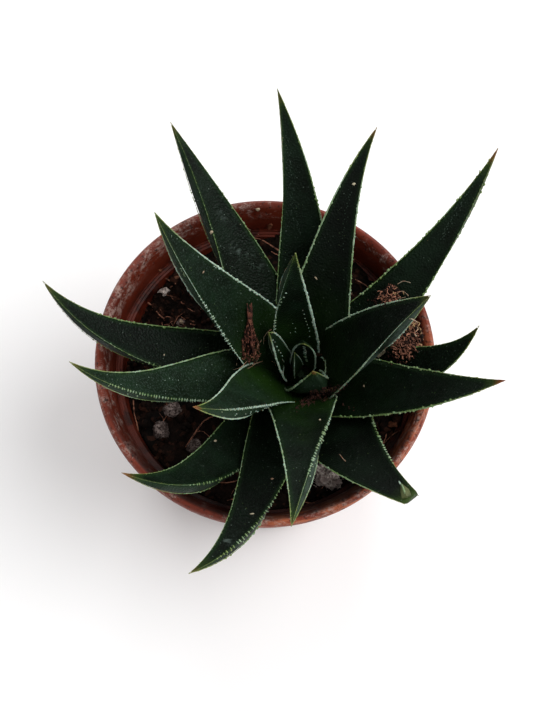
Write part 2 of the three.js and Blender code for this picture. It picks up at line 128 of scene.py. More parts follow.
# Each leaf from the lowest to the innermost, as in the solids: the angle its tip points to, its tip's
# distance and height from the crown, its slopes at both ends, its sideways bow, its width, how it narrows,
# its roll, and where its keel and the margin over it run. glow is how yellow-green its foot is.
# shade is how light its flesh is painted. It is lower on the leaves that face away from the light,
# as painted shade. bloom is how grey its face is: partly a grey bloom on its grain, partly painted
# sheen on the leaves that face the light. frost is how pale its flanks are: partly their frosted
# skin, partly painted light on the flanks that face the lamp. mint is how pale its margins are and dry
# how brown its point. coarse is the size of its beads, and pale how thick the far margin, the one over the
# keel and the keel are drawn. ladder is the stretch that has bars, and wear the rubbed spots, as shares of
# its length and places round its section. cup is how hollow its face is, cut how much of its length is
# there, and root how far its foot is from the crown's middle.
LEAVES = [
    dict(turn=96, reach=71, rise=54, lift=40, end=36, bow=(-5.5, -5.5),
         width=18, taper=2, roll=-14, keel=0.95, flank=0.15,
         shade=0.6, mint=0.25, coarse=1.1, pale=(1.0, 0.7, 0.7)),
    dict(turn=2, reach=50, rise=42, lift=36, end=62, bow=(2, -12),
         width=19, roll=10, keel=-0.25,
         shade=0.5, mint=0.15, coarse=1.1, pale=(0.6, 1.0, 0.3)),
    dict(turn=219, reach=65, rise=42, lift=22, end=50, bow=(3.5, 18),
         width=16.5, taper=2.4, roll=15, keel=0.85, flank=0.1,
         shade=0.6, bloom=0.35, dry=0.7, mint=0.2, coarse=1.2, pale=(0.55, 0.6, 0.5), ladder=(0.3, 0.75)),
    dict(turn=44, reach=80, rise=46, lift=38, end=30, bow=(-7.5, -8),
         width=21, taper=1.4, roll=-12, keel=-0.6, flank=0.12,
         shade=0.6, bloom=0.2, dry=0.7, mint=0.12, coarse=1.4, pale=(1.0, 1.2, 1.2)),
    dict(turn=303, reach=55, rise=34, lift=36, end=26, bow=(-2, -6),
         width=30, taper=1.4, cut=0.86, keel=0.9, flank=0.1,
         shade=0.3, bloom=0.15, mint=0.2, dry=0, coarse=1.05, pale=(0.8, 1.0, 0.6), ladder=(0.35, 0.8)),
    dict(turn=169, reach=76, rise=44, lift=28, end=36, bow=(-2.5, 16),
         width=19, roll=15, keel=0.8, flank=0.1,
         shade=0.25, bloom=0.5, mint=0.15, coarse=1.4, pale=(0.8, 0.7, 0.5), ladder=(0.3, 0.6)),
    dict(turn=122, reach=73, rise=50, lift=40, end=38, bow=(-1, -1),
         width=22, taper=1.4, roll=25, keel=0.95, flank=0.25,
         shade=0.45, bloom=0.6, mint=0.2, coarse=1.3, pale=(0.6, 0.6, 0.6),
         wear=((0.42, 2.9), (0.5, 2.4), (0.64, 3.2))),
    dict(turn=245, reach=75, rise=38, lift=34, end=34, bow=(-0.5, 13.5),
         width=18, roll=15, keel=0.8, flank=0.11,
         shade=0.28, bloom=0.3, mint=0.3, coarse=1.25, pale=(0.5, 0.8, 1.1), ladder=(0.45, 0.9),
         wear=((0.8, 2.5),)),
    dict(turn=341, reach=57, rise=56, lift=44, end=50, bow=(-1.5, -4.5),
         width=22, taper=1.7, keel=-0.2, glow=0.2,
         shade=0.4, bloom=0.15, dry=1, mint=0.12, coarse=1.25, pale=(0.8, 1.1, 0.3)),
    dict(turn=70, reach=63, rise=52, lift=60, end=34, bow=(-1.5, 5.5),
         width=25, taper=1.1, roll=-10, glow=0.3,
         shade=0.3, bloom=0.1, dry=0.5, mint=0.4, pale=(0.95, 1.0, 0)),
    dict(turn=190, reach=66, rise=50, lift=44, end=42, bow=(-4, 13),
         width=20, taper=1.5, roll=15, keel=0.8, flank=0.1, glow=0.2,
         bloom=1.6, mint=0.35, coarse=0.9, pale=(0.75, 0.7, 0.6), ladder=(0.3, 0.85)),
    dict(turn=146, reach=50, rise=62, lift=58, end=50, bow=(-1, 5),
         width=24, taper=1.4, roll=15, keel=0.8, flank=0.1, glow=0.6,
         shade=0.85, bloom=1.0, dry=0, mint=0.95, coarse=1.1, pale=(1.1, 0.8, 0.9), ladder=(0.3, 0.64)),
    dict(turn=266, reach=57, rise=48, lift=68, end=28, bow=(1, 3),
         width=25, taper=1.2, roll=15, keel=0.85, flank=0.26, glow=0.8,
         shade=0.5, bloom=0.25, frost=0.4, mint=0.5, pale=(0.9, 0.9, 0.7), ladder=(0.35, 0.75)),
    dict(turn=6, reach=34, rise=62, lift=66, end=60, bow=(1, 0),
         width=22.5, roll=-10, keel=-0.5, flank=0.11, glow=0.4,
         shade=0.3, bloom=0.1, frost=0.45, mint=0.65, pale=(0.9, 0.9, 1.0)),
    dict(turn=221, reach=40, rise=57, lift=62, end=54, bow=(-6, 6.5),
         width=18, roll=15, keel=0.85, flank=0.15, glow=1.0,
         dry=0.8, mint=0.85, bloom=0.9, coarse=0.62, pale=(0.65, 0.5, 0.7), ladder=(0.25, 0.85)),
    dict(turn=98, reach=18, rise=57, lift=74, end=76, bow=(1, 2),
         width=14.5, cup=0.2, keel=0.9, flank=0.15, glow=0.8,
         shade=0.7, bloom=0.1, dry=0, mint=1, pale=(1.5, 0.35, 0.2), ladder=(0.2, 0.5)),
    dict(turn=167, reach=10.2, rise=34, lift=66, end=80, bow=(-2, -2),
         width=9, cup=0.3, root=2.5, keel=0.2, glow=0.8,
         mint=0.9, pale=(1.6, 2.3, 0.3)),
    dict(turn=304, reach=6, rise=19, lift=50, end=112, bow=(-2, 1),
         width=13, taper=2.6, cup=0.35, root=1.2, roll=-35, glow=0.8,
         dry=0.5, mint=0.6, pale=(1.7, 1.6, 0)),
    dict(turn=72, reach=2.6, rise=22.5, lift=76, end=104,
         width=8, taper=3, cup=0.35, root=1.6, glow=0.6,
         mint=0.9, pale=(2.0, 2.0, 0)),
    dict(turn=150, reach=2.5, rise=18, lift=84, end=80,
         width=5.5, taper=1.5, root=0.4, glow=0.5,
         mint=0.8, pale=(1.5, 1.5, 0)),
]
LEAF_DEFAULTS = dict(
    taper=1.9, bow=(0, 0), roll=0, cup=0.14, cut=1, root=STEM_RADIUS + GAP, keel=0.75, flank=0,
    glow=0.1, shade=1.0, frost=0.1, bloom=0.4, mint=0.4, dry=0.15, coarse=1.0, pale=(1, 1, 0.5),
    ladder=(0, 0), wear=(),
)
TINTS = ("mint", "dry", "shade", "frost", "bloom")
KEPT_VALUES = (
    *TINTS, "width", "taper", "cup", "cut", "glow", "pale", "coarse", "ladder", "wear", "keel", "flank",
)

# How many parts each side of a leaf's section is split into, from its anticlockwise margin over the face
# and back underneath.
SIDE_PARTS = (3, 3, 3, 3, 3, 5, 3, 2)

# A leaf's mesh: how far apart its rings are in millimetres, the fewest of them, how near its points are
# welded, the t of its last ring, its smoothing, the steps that its length is measured in and those that its
# tints are found by.
LEAF_PITCH = 1.3
FEWEST_STEPS = 24
WELD = 0.02
LAST_T = 1 - 1e-6
SMOOTH_ROUNDS = 2
SMOOTHING = 0.4
LENGTH_STEPS = 20
TINT_STEPS = 80

# The size of a rubbed spot in millimetres, and how many beads are made at a time.
WEAR_SIZE = 2.4
BATCH = 40

# How often a bead of a margin is missing, and how often a bar has another bead beyond it.
MISSING_BEADS = 0.12
BEADS_BEYOND = 0.2

# Places round a leaf's section, counted in corners: its margins and its keel.
LEFT_MARGIN = 0
RIGHT_MARGIN = 4
KEEL = 6

# Pumice stones and coir clumps, where the solids have them, in millimetres. fine is how small a clump's
# strands are, and share how many of them it has.
STONES = [
    dict(at=(19.5, -34.8, 78), size=(11, 8.5, 8.5), turn=-20, seed=3, hairs=70, pale=True),
    dict(at=(-33, -18.5, 72.5), size=(6, 6.5, 6), turn=30, seed=5),
    dict(at=(-29.5, -12, 73), size=(6.5, 5.5, 5.5), turn=10, seed=8),
    dict(at=(-22, -24, 73), size=(6, 6, 5), turn=50, seed=12),
    dict(at=(-33, 27, 74.5), size=(4.6, 3.4, 4), turn=40, seed=21, pale=True),
    dict(at=(-27, 16.5, 75), size=(3.6, 3.2, 3.4), turn=0, seed=30),
]
CLUMPS = [
    dict(at=(-4.6, 5.9, 97.5), size=(5.5, 18, 5), lean=33, seed=9, frayed=True),
    dict(at=(38.8, 18.6, 96), size=(7.5, 6, 4.5), turn=20, seed=14),
    dict(at=(42.3, 4, 98), size=(11.5, 15.5, 9), turn=10, seed=17),
    dict(at=(17.3, -10.4, 85.6), size=(15.5, 2.6, 3.8), turn=23, seed=25, fine=0.4, dark=True, share=0.45),
]

# Curled litter on the soil, in millimetres, and what the stalk, the clumps and the stones' hairs are made of.
# The prongs are in a space where the stalk's box runs from -1 to 1, and the golden strands lie on one side.
LITTER_PLACE = (-29, 25)
LITTER_SPREAD = 14
LITTER_CURLS = 50
LITTER_CRUMBS = 300
SPLINTERS = 70
SCALES = 520
PRONGS = [
    [(Vector((-0.1, 0.4, 0.1)), 0.4), (Vector((-0.22, 0.75, 0.1)), 0.3), (Vector((-0.3, 1.0, 0.1)), 0.12)],
    [(Vector((0.1, 0.4, 0.1)), 0.4), (Vector((0.2, 0.75, 0.1)), 0.32), (Vector((0.16, 1.02, 0.1)), 0.14)],
]
GOLDEN_SIDE = Vector((0.5, 0.85))
HAIR_SHARE = 0.5
CURVE_STEPS = 6
CURL_STEPS = 9
CURL_DENSITY = 19
CRUMB_DENSITY = 13

# Flakes and chips on the leaves, the wall and the soil, by the photograph's pixel, with sizes in millimetres.
FLAKES = [
    dict(pixel=(212, 232), size=(1.5, 0.8, 0.7), turn=60),
    dict(pixel=(316, 278), size=(1.1, 0.45, 0.4), turn=-48, rust=0.2),
    dict(pixel=(351, 294), size=(1.0, 0.6, 0.5), turn=70, rust=0.5),
    dict(pixel=(354, 184), size=(0.9, 0.8, 0.8)),
    dict(pixel=(364, 386), size=(0.9, 0.5, 0.4), turn=-60, rust=0.3),
    dict(pixel=(320, 420), size=(0.6, 0.5, 0.4)),
    dict(pixel=(215, 441), size=(1.0, 0.7, 0.6), turn=30, rust=0.2),
    dict(pixel=(203, 272), size=(0.9, 0.4, 0.4), turn=40, rust=0.4),
    dict(pixel=(252, 514), size=(1.1, 0.4, 0.4), turn=10),
    dict(pixel=(272, 479), size=(0.9, 0.5, 0.4), turn=15, rust=0.5),
    dict(pixel=(164, 355), size=(0.6, 0.4, 0.3), turn=80),
    dict(pixel=(382, 353), size=(4.0, 1.5, 0.7), turn=38, rust=0.1, bend=0.6),
    dict(pixel=(258, 209), size=(1.3, 1.0, 0.9), rust=0.3),
    dict(pixel=(270, 225), size=(3.6, 1.6, 0.6), turn=80, rust=1, bend=0.5),
    dict(pixel=(392, 424), size=(5.5, 2.6, 1.1), turn=-55, rust=1),
    dict(pixel=(181, 322), size=(1.8, 1.1, 0.8), turn=120, rust=0.4),
    dict(pixel=(176, 277), size=(2.2, 1.3, 0.9), turn=30, rust=0.9),
    dict(pixel=(160, 270), size=(1.8, 1.0, 0.8), turn=140, rust=1),
]

# Rows of pale dots and bars on the leaves, as routes through the photograph's pixels, with each bead's
# length and thickness in millimetres, its turn in degrees from the route, how far in millimetres it may lie
# beside the route and how high over the leaf, and how pale it is or whether it has the colour of the leaf.
BEAD_ROWS = [
    dict(route=[(286.3, 291), (282.8, 300.5), (279, 306), (276.5, 311), (275, 318)],
         count=8, size=(1.3, 0.4), turn=60),
    dict(route=[(301.5, 308), (305, 319), (308, 327), (310.5, 338)], count=8, size=(0.55, 0.4)),
    dict(route=[(291, 322), (297, 331), (287, 334)], count=4, size=(0.4, 0.3)),
    dict(route=[(272, 338), (277, 347), (282, 356), (284, 363)], count=8, size=(1.0, 0.5)),
    dict(route=[(284, 365), (283, 375)], count=5, size=(1.7, 0.3), turn=70),
    dict(route=[(304.5, 346), (306, 362)], count=9, size=(1.4, 0.4), turn=85, mint=0.7),
    dict(route=[(324.5, 374), (326, 367.5), (325, 361), (321, 357)], count=20, size=(0.9, 0.6), mint=0.5),
    dict(route=[(292, 384), (303, 387), (314, 384)],
         count=16, size=(0.8, 0.45), spread=0.7, flesh=True),
    dict(route=[(289, 381), (299, 378), (310, 375)],
         count=18, size=(1.3, 0.5), spread=0.15, flesh=True),
    dict(route=[(282, 298), (277.5, 306), (276, 318), (274.5, 330)],
         count=13, size=(1.1, 0.45), turn=70, mint=0.5),
    dict(route=[(181, 268), (185, 277)], count=5, size=(0.8, 0.35), turn=80, mint=0.4),
    dict(route=[(212, 264), (217, 268)], count=3, size=(0.5, 0.4)),
    dict(route=[(234, 280), (247, 287)], count=2, size=(0.5, 0.4)),
    dict(route=[(399.8, 481), (402.6, 486.6)], count=1, size=(2.0, 0.6), mint=0.9, lift=0.3),
    dict(route=[(402.6, 486.4), (407.2, 498.2)],
         count=1, size=(5.2, 0.9), mint=0.2, lift=0.8, spread=0),
    dict(route=[(482, 170), (464, 200), (451, 222), (441, 240)],
         count=46, size=(0.6, 0.45), spread=0.8, flesh=True),
    dict(route=[(286.5, 135), (289, 165), (292, 200), (299, 238)],
         count=60, size=(0.6, 0.45), spread=0.9, flesh=True),
    dict(route=[(352, 180), (346, 215), (341, 250)], count=26, size=(0.5, 0.4), spread=0.8, flesh=True),
    dict(route=[(196, 190), (206, 225), (218, 262)],
         count=30, size=(0.6, 0.45), spread=0.7, flesh=True),
    dict(route=[(236, 250), (250, 262), (262, 274)],
         count=26, size=(0.6, 0.45), spread=1.0, flesh=True),
]

# The folded tip of the leaf at the lower right, as pixels with a height in millimetres over the leaf, and how
# far it reaches under the skin.
FOLD = [
    ((400.6, 482.6), 0.1), ((403.0, 487.0), 0.8), ((407.0, 498.0), 1.1),
    ((408.8, 489.0), 0.1), ((411.6, 495.4), 0.1), ((400.6, 492.4), 0.1), ((401.8, 498.6), 0.1),
]
FOLD_SUNK = 0.4

# Stray threads, as routes through the photograph's pixels, and how far in millimetres they lie over the
# leaves.
THREADS = [
    [(398, 284), (404, 281), (411, 283)],
    [(397, 292), (403, 292), (409, 296)],
    [(396, 296), (401, 298), (406, 297)],
    [(271, 333), (267, 335), (264, 341)],
    [(262, 361), (252, 364), (243, 366)],
    [(263, 344), (263.5, 337), (267, 332), (271, 329)],
    [(261, 340), (258, 347), (260, 355)],
    [(240, 352), (237, 359), (236, 366)],
    [(246, 361), (241, 368), (233, 370)],
    [(258, 358), (254, 365), (247, 369)],
    [(271, 361), (274, 363), (275, 366)],
    [(409, 318), (414, 319), (418, 323), (417, 329), (414, 334), (417, 337)],
    [(240, 224), (250, 229), (259, 234)],
    [(340, 455), (343, 459), (346, 462)],
]
THREAD_LIFT = 0.25

# The number of dust grains, and the loose brown crumbs in the crevices and round the clumps, as routes
# through the photograph's pixels, with the range of their half sizes in millimetres.
DUST_GRAINS = 320
CRUMB_ROUTES = [
    dict(route=[(301, 402), (312, 397), (325, 393), (339, 386)], count=110, spread=0.9),
    dict(route=[(296, 409), (304, 404), (314, 402)], count=46, spread=0.8),
    dict(route=[(310, 393), (319, 391), (331, 386)], count=40, spread=0.6),
    dict(route=[(322, 400), (334, 395), (347, 384)], count=50, spread=0.9),
    dict(route=[(315, 350), (321, 356)], count=14, spread=0.6),
    dict(route=[(243, 363), (262, 364)], count=26, spread=0.9),
    dict(route=[(373, 299), (385, 306)], count=26, spread=1.2),
    dict(route=[(386, 353), (402, 363)], count=34, spread=1.0),
    dict(route=[(352, 410), (340, 400)], count=8, spread=0.6),
]
CRUMB_HALF = (0.13, 0.32)

# Root fibres on the soil and against the wall, as points from the pot's middle in millimetres.
FIBRES = [
    [(-43, 24, 74), (-40, 24.5, 75.5), (-37, 22.5, 75), (-34, 19, 75), (-30, 16, 75)],
    [(-38, 33.5, 76), (-35, 33, 77), (-32, 31, 76.5), (-29, 29.5, 76)],
    [(-27, 42, 76), (-25, 46, 82), (-20, 47, 84), (-14, 46, 82)],
    [(-25, 46, 83), (-23.5, 43, 80), (-22, 40, 77)],
    [(-7, 45, 77), (-2, 44, 79), (3, 41, 79), (8, 38, 77)],
    [(2, 40, 78), (5, 38, 79), (9, 37, 78), (10, 34, 77)],
    [(-42, -8, 73), (-41.5, -13, 74.5), (-40, -19, 73)],
    [(-25, -24, 73), (-22, -20, 75), (-19, -16, 75), (-15, -14, 74)],
    [(37, -24, 77), (40, -21.5, 79.5), (43, -20.5, 82), (46, -20, 84)],
    [(35, -29, 76), (36.5, -25, 79), (38, -21, 78)],
    [(-36, -2, 73), (-33, -6, 75), (-31, -11, 74)],
    [(-20, -34, 73), (-14, -36, 75), (-8, -35, 74)],
    [(8, -41, 76), (14, -43, 78), (21, -41, 77)],
    [(28, 30, 80), (33, 26, 82), (36, 21, 80)],
]

# Where the random draws of the soil, the fibres and the litter start.
SOIL_SEED = 41
FIBRE_SEED = 77
LITTER_SEED = 5

# The stage, in metres: where the lights are, how wide, what they point at, the floor's half width and cuts,
# and how near the camera sees.
KEY_PLACE = (1.2, 0, 1.6)
KEY_WIDTH = 1.7
BACK_PLACE = (-0.1, 1.3, 1.0)
BACK_WIDTH = 0.9
LIGHT_AIM = (0.01, 0, 0.11)
FLOOR_HALF = 3
FLOOR_CUTS = 8
NEAREST_SEEN = 0.01


def lerp(a, b, share):
    return a + (b - a) * share


def smoothstep(low, high, value):
    share = min(1.0, max(0.0, (value - low) / (high - low)))
    return share * share * (3 - 2 * share)


def soil_top(x, y):
    """Height of the soil's surface in millimetres, before its crumbs."""
    level = POT_HEIGHT - SOIL_DEPTH + SOIL_SLOPE[0] * x + SOIL_SLOPE[1] * y
    lumps = (
        0.7 * math.sin(0.31 * x + 0.4) * math.cos(0.27 * y - 0.8)
        + 0.4 * math.sin(0.63 * x - 0.21 * y + 1.9)
        + 0.3 * math.cos(0.52 * y + 0.34 * x)
    )
    away = math.hypot(x - CROWN.x, y - CROWN.y)
    return level + lumps - DISH_DEPTH * math.exp(-((away / DISH_RADIUS) ** 2))


class Leaf:
    """One leaf's middle line and section, in millimetres."""

    def __init__(self, order, row):
        values = {**LEAF_DEFAULTS, **row}
        for name in KEPT_VALUES:
            setattr(self, name, values[name])
        self.name = f"leaf_{order + 1:02d}"
        self.seed = order
        self.keel_margin = LEFT_MARGIN if self.keel > 0 else RIGHT_MARGIN
        self.far_margin = RIGHT_MARGIN if self.keel > 0 else LEFT_MARGIN
        self.flank_step = -1 if self.keel > 0 else 1
        self.roll = math.radians(values["roll"])
        self.clasp = OUTER_CLASP if order < len(LEAVES) - INNER_LEAVES else INNER_CLASP
        turn = math.radians(values["turn"])
        foot = LOWEST_FOOT + order * FOOT_STEP
        reach, rise, root = values["reach"], values["rise"], values["root"]
        third = math.hypot(reach - root, rise - foot) / 3
        lift, end = math.radians(values["lift"]), math.radians(values["end"])
        self.out = Vector((math.cos(turn), math.sin(turn), 0))
        self.side = Vector((-math.sin(turn), math.cos(turn), 0))
        knots = (
            (root, 0, foot),
            (root + third * math.cos(lift), values["bow"][0], foot + third * math.sin(lift)),
            (reach - third * math.cos(end), values["bow"][1], rise - third * math.sin(end)),
            (reach, 0, rise),
        )
        up = Vector((0, 0, 1))
        self.knots = [CROWN + self.out * r + self.side * s + up * z for r, s, z in knots]
        stops = [self.point(i / LENGTH_STEPS) for i in range(LENGTH_STEPS + 1)]
        self.length = sum((b - a).length for a, b in zip(stops, stops[1:]))

    def point(self, t):
        """The point of its middle line at t, which runs from 0 at the foot to 1 at the tip."""
        a, b, c, d = self.knots
        u = 1 - t
        return a * u**3 + b * (3 * u * u * t) + c * (3 * u * t * t) + d * t**3

    def along(self, t):
        """The direction in which its middle line runs at t."""
        a, b, c, d = self.knots
        u = 1 - t
        return ((b - a) * (u * u) + (c - b) * (2 * u * t) + (d - c) * (t * t)).normalized()

    def axes(self, t):
        """The directions across the leaf, to its anticlockwise margin, and up from its face."""
        along = self.along(t)
        across = (self.side - along * self.side.dot(along)).normalized()
        across = Matrix.Rotation(self.roll * t, 3, along) @ across
        return across, along.cross(across)

    def half(self, t):
        """Half its width at t."""
        share = t * self.cut
        foot = 1 - (1 - self.clasp) * (1 - share / CLASP_END) ** 2 if share < CLASP_END else 1
        return self.width / 2 * (1 - share**self.taper) * foot

    def corners(self, t):
        """The corners of its section, from the anticlockwise margin over the face and back underneath."""
        half = self.half(t)
        deep = half * lerp(DEPTH_AT_FOOT, DEPTH_AT_TIP, t)
        groove = half * self.cup
        keel = half * self.keel * lerp(KEEL_AT_FOOT, 1, smoothstep(0.2, 0.85, t))
        inset = half * (1 - self.flank * FLANK_AT_TIP * max(0.0, t - FLANK_START) / (1 - FLANK_START))
        flank = (inset + abs(keel)) / 2 * FLANK_BULGE
        left, right, left_flank, right_flank = inset, half, flank, half * FLANK_WIDTH
        if self.keel < 0:
            left, right, left_flank, right_flank = right, left, right_flank, left_flank
        return (
            (left, 0),
            (left * 0.5, -groove * 0.8),
            (0, -groove),
            (-right * 0.5, -groove * 0.8),
            (-right, 0),
            (-right_flank, -deep * FLANK_DEPTH),
            (keel, -deep),
            (left_flank, -deep * FLANK_DEPTH),
        )

    def at(self, t, place):
        """The point at t, and at a place round the section counted in corners from the first margin."""
        corners = self.corners(t)
        place %= len(corners)
        first = int(place)
        share = place - first
        x = lerp(corners[first][0], corners[(first + 1) % len(corners)][0], share)
        y = lerp(corners[first][1], corners[(first + 1) % len(corners)][1], share)
        across, normal = self.axes(t)
        return self.point(t) + across * x + normal * y

    def edge_point(self, t, place):
        """The point at t and a place, moved out or in by the leaf's uneven growth."""
        centre = self.point(t)
        return centre + (self.at(t, place) - centre) * self.wander(t)

    def wander(self, t):
        """How much wider or narrower the leaf is at t, as one that grew unevenly."""
        return 1 + 0.025 * noise.noise((t * 7, self.seed * 3.7, 0)) * smoothstep(0.1, 0.3, t)


ALL_LEAVES = [Leaf(order, row) for order, row in enumerate(LEAVES)]


class Finish:
    """A material in the making: its shader, and short ways to add nodes to it."""

    def __init__(self, name, roughness=0.6, specular=0.5, **inputs):
        self.material = bpy.data.materials.new(name)
        self.material.use_nodes = True
        self.tree = self.material.node_tree
        self.shader = self.tree.nodes["Principled BSDF"]
        self.shader.inputs["Roughness"].default_value = roughness
        self.shader.inputs["Specular IOR Level"].default_value = specular
        for key, value in inputs.items():
            self.shader.inputs[key.replace("_", " ")].default_value = value
        self.place = self.tree.nodes.new("ShaderNodeTexCoord").outputs["Object"]

    def feed(self, socket, value):
        if isinstance(value, bpy.types.NodeSocket):
            self.tree.links.new(value, socket)
        elif socket.type == "RGBA":
            socket.default_value = (*value[:3], 1)
        else:
            socket.default_value = value

    def add(self, kind, inputs=(), **settings):
        node = self.tree.nodes.new(kind)
        for key, value in settings.items():
            setattr(node, key, value)
        for key, value in dict(inputs).items():
            self.feed(node.inputs[key], value)
        return node

    def attribute(self, name):
        return self.add("ShaderNodeAttribute", attribute_name=name).outputs["Fac"]

    def stretched(self, scale, turn=(0, 0, 0)):
        """Object coordinates scaled unevenly, in metres."""
        inputs = {"Vector": self.place, "Scale": scale, "Rotation": turn}
        return self.add("ShaderNodeMapping", inputs).outputs["Vector"]

    def noise(self, scale, detail=3, roughness=0.55, vector=None, distortion=0):
        inputs = {
            "Vector": vector or self.place,
            "Scale": scale,
            "Detail": detail,
            "Roughness": roughness,
            "Distortion": distortion,
        }
        return self.add("ShaderNodeTexNoise", inputs).outputs["Fac"]

    def cells(self, scale, feature="F1", output="Distance"):
        inputs = {"Vector": self.place, "Scale": scale}
        return self.add("ShaderNodeTexVoronoi", inputs, feature=feature).outputs[output]

    def between(self, value, low, high, start=0.0, end=1.0):
        """A smooth step of the value from low to high."""
        inputs = {"Value": value, "From Min": low, "From Max": high, "To Min": start, "To Max": end}
        node = self.add("ShaderNodeMapRange", inputs, interpolation_type="SMOOTHSTEP")
        return node.outputs["Result"]

    def math(self, operation, a, b):
        return self.add("ShaderNodeMath", {0: a, 1: b}, operation=operation).outputs[0]

    def times(self, value, *others):
        """The product of all the values."""
        for other in others:
            value = self.math("MULTIPLY", value, other)
        return value

    def mix(self, share, a, b):
        """The colour a, with the colour b over it where the share is high."""
        node = self.add("ShaderNodeMix", data_type="RGBA")
        self.feed(node.inputs[0], share)
        self.feed(node.inputs[6], a)
        self.feed(node.inputs[7], b)
        return node.outputs[2]

    def bump(self, height, strength, distance, under=None):
        inputs = {"Height": height, "Strength": strength, "Distance": distance}
        if under:
            inputs["Normal"] = under
        return self.add("ShaderNodeBump", inputs).outputs["Normal"]

    def finish(self, color=None, roughness=None, normal=None):
        if color is not None:
            self.feed(self.shader.inputs["Base Color"], color)
        if roughness is not None:
            self.feed(self.shader.inputs["Roughness"], roughness)
        if normal is not None:
            self.feed(self.shader.inputs["Normal"], normal)
        return self.material


def leaf_finish(settings):
    """Dark satin leaf flesh with a fine grain, pale specks, a yellow-green foot, a dry tip and painted shade
    and sheen.
    """
    made = Finish("leaf flesh", roughness=0.5, specular=0.1)
    along = made.attribute("along")
    under = made.attribute("under")
    # Each leaf's grey bloom on the grain: partly the skin's own bloom, partly painted sheen on the leaves
    # that face the light.
    dust_and_sheen = made.attribute("bloom")
    patches = made.noise(95, 4, 0.6)
    grain = made.cells(1900, "SMOOTH_F1")
    color = made.mix(made.between(patches, 0.35, 0.7), settings.leaf_dark, settings.leaf_light)
    color = made.mix(under, color, settings.leaf_under)
    # Painted shade: each leaf's flesh is darkened by its own share, most on the leaves that face away from
    # the light.
    color = made.mix(made.attribute("shade"), (0, 0, 0), color)
    # The flanks are lightened to a pale grey-green by each leaf's share: partly their frosted skin, partly
    # painted light on the flanks that face the lamp.
    frost_and_lit_flank = made.times(made.attribute("frost"), under, made.between(patches, 0.3, 0.6))
    color = made.mix(frost_and_lit_flank, color, settings.leaf_frost_and_light)
    color = made.mix(made.times(made.between(grain, 0.42, 0.08, 0.0, 0.8), dust_and_sheen), color, settings.leaf_bloom_and_sheen)
    color = made.mix(made.attribute("glow"), color, settings.leaf_foot)
    rim = made.between(made.attribute("edge"), 1.6, 0.2)
    color = made.mix(made.times(rim, 0.5), color, settings.leaf_rim)
    olive = made.between(made.math("ADD", along, made.times(patches, 0.12)), 0.95, 1.08)
    color = made.mix(olive, color, settings.leaf_tip)
    color = made.mix(dry_point(made, along), color, settings.point)
    rubbed = made.between(made.noise(420, 5, 0.7, vector=made.stretched((0.5, 0.5, 1))), 0.5, 0.68, 0.0, 0.6)
    color = made.mix(made.times(rubbed, made.attribute("wear")), color, settings.leaf_worn)
    chosen = made.between(made.cells(900, output="Color"), 0.6, 0.8)
    speck = made.times(made.between(made.cells(900), 0.15, 0.07), chosen)
    # The pale specks show more strongly on the leaves with more of that painted sheen.
    strength = made.math("ADD", made.times(dust_and_sheen, 0.45), 0.15)
    color = made.mix(made.times(speck, strength), color, settings.horn)
    roughness = made.between(made.noise(260, 5, 0.65), 0.3, 0.75, 0.38, 0.66)
    relief = made.bump(made.noise(150, 3), 0.03, 0.0006)
    relief = made.bump(made.math("SUBTRACT", 1.0, grain), 0.9, 0.0003, relief)
    return made.finish(color, roughness, relief)


def dry_point(made, along):
    """Where a leaf's dry point is, on its flesh and on its beads."""
    return made.times(made.between(along, 0.94, 0.985), made.attribute("dry"))


def tubercle_finish(settings):
    """The leaf-coloured bumps, a little greyer than the skin round them."""
    made = Finish("leaf bumps", roughness=0.45, specular=0.2)
    change = made.between(made.noise(900, 2), 0.35, 0.7)
    return made.finish(made.mix(change, settings.leaf_light, settings.leaf_bloom_and_sheen))


def fold_finish(settings):
    """The pale inner side of the folded tip."""
    made = Finish("folded tip", roughness=0.5, specular=0.25)
    change = made.between(made.noise(240, 3, 0.6), 0.35, 0.65)
    return made.finish(made.mix(change, settings.fold_dark, settings.fold_light))


def horn_finish(settings):
    """The horny beads and edges: mint inside the rosette, yellow-green further out, brown at the points."""
    made = Finish("leaf margin", 0.45, 0.45, Subsurface_Weight=0.1, Subsurface_Scale=0.0008)
    along = made.attribute("along")
    mottle = made.noise(900, 3)
    broad = made.between(made.noise(160, 2), 0.3, 0.7, -0.25, 0.2)
    pale = made.between(made.math("ADD", made.attribute("mint"), broad), 0.0, 1.0)
    color = made.mix(pale, settings.horn_green, settings.horn)
    color = made.mix(made.between(mottle, 0.35, 0.75, 0.0, 0.45), color, settings.horn_green)
    color = made.mix(made.between(along, 0.72, 0.95), color, settings.horn_tip)
    color = made.mix(dry_point(made, along), color, settings.point)
    return made.finish(color, normal=made.bump(mottle, 0.3, 0.0002))


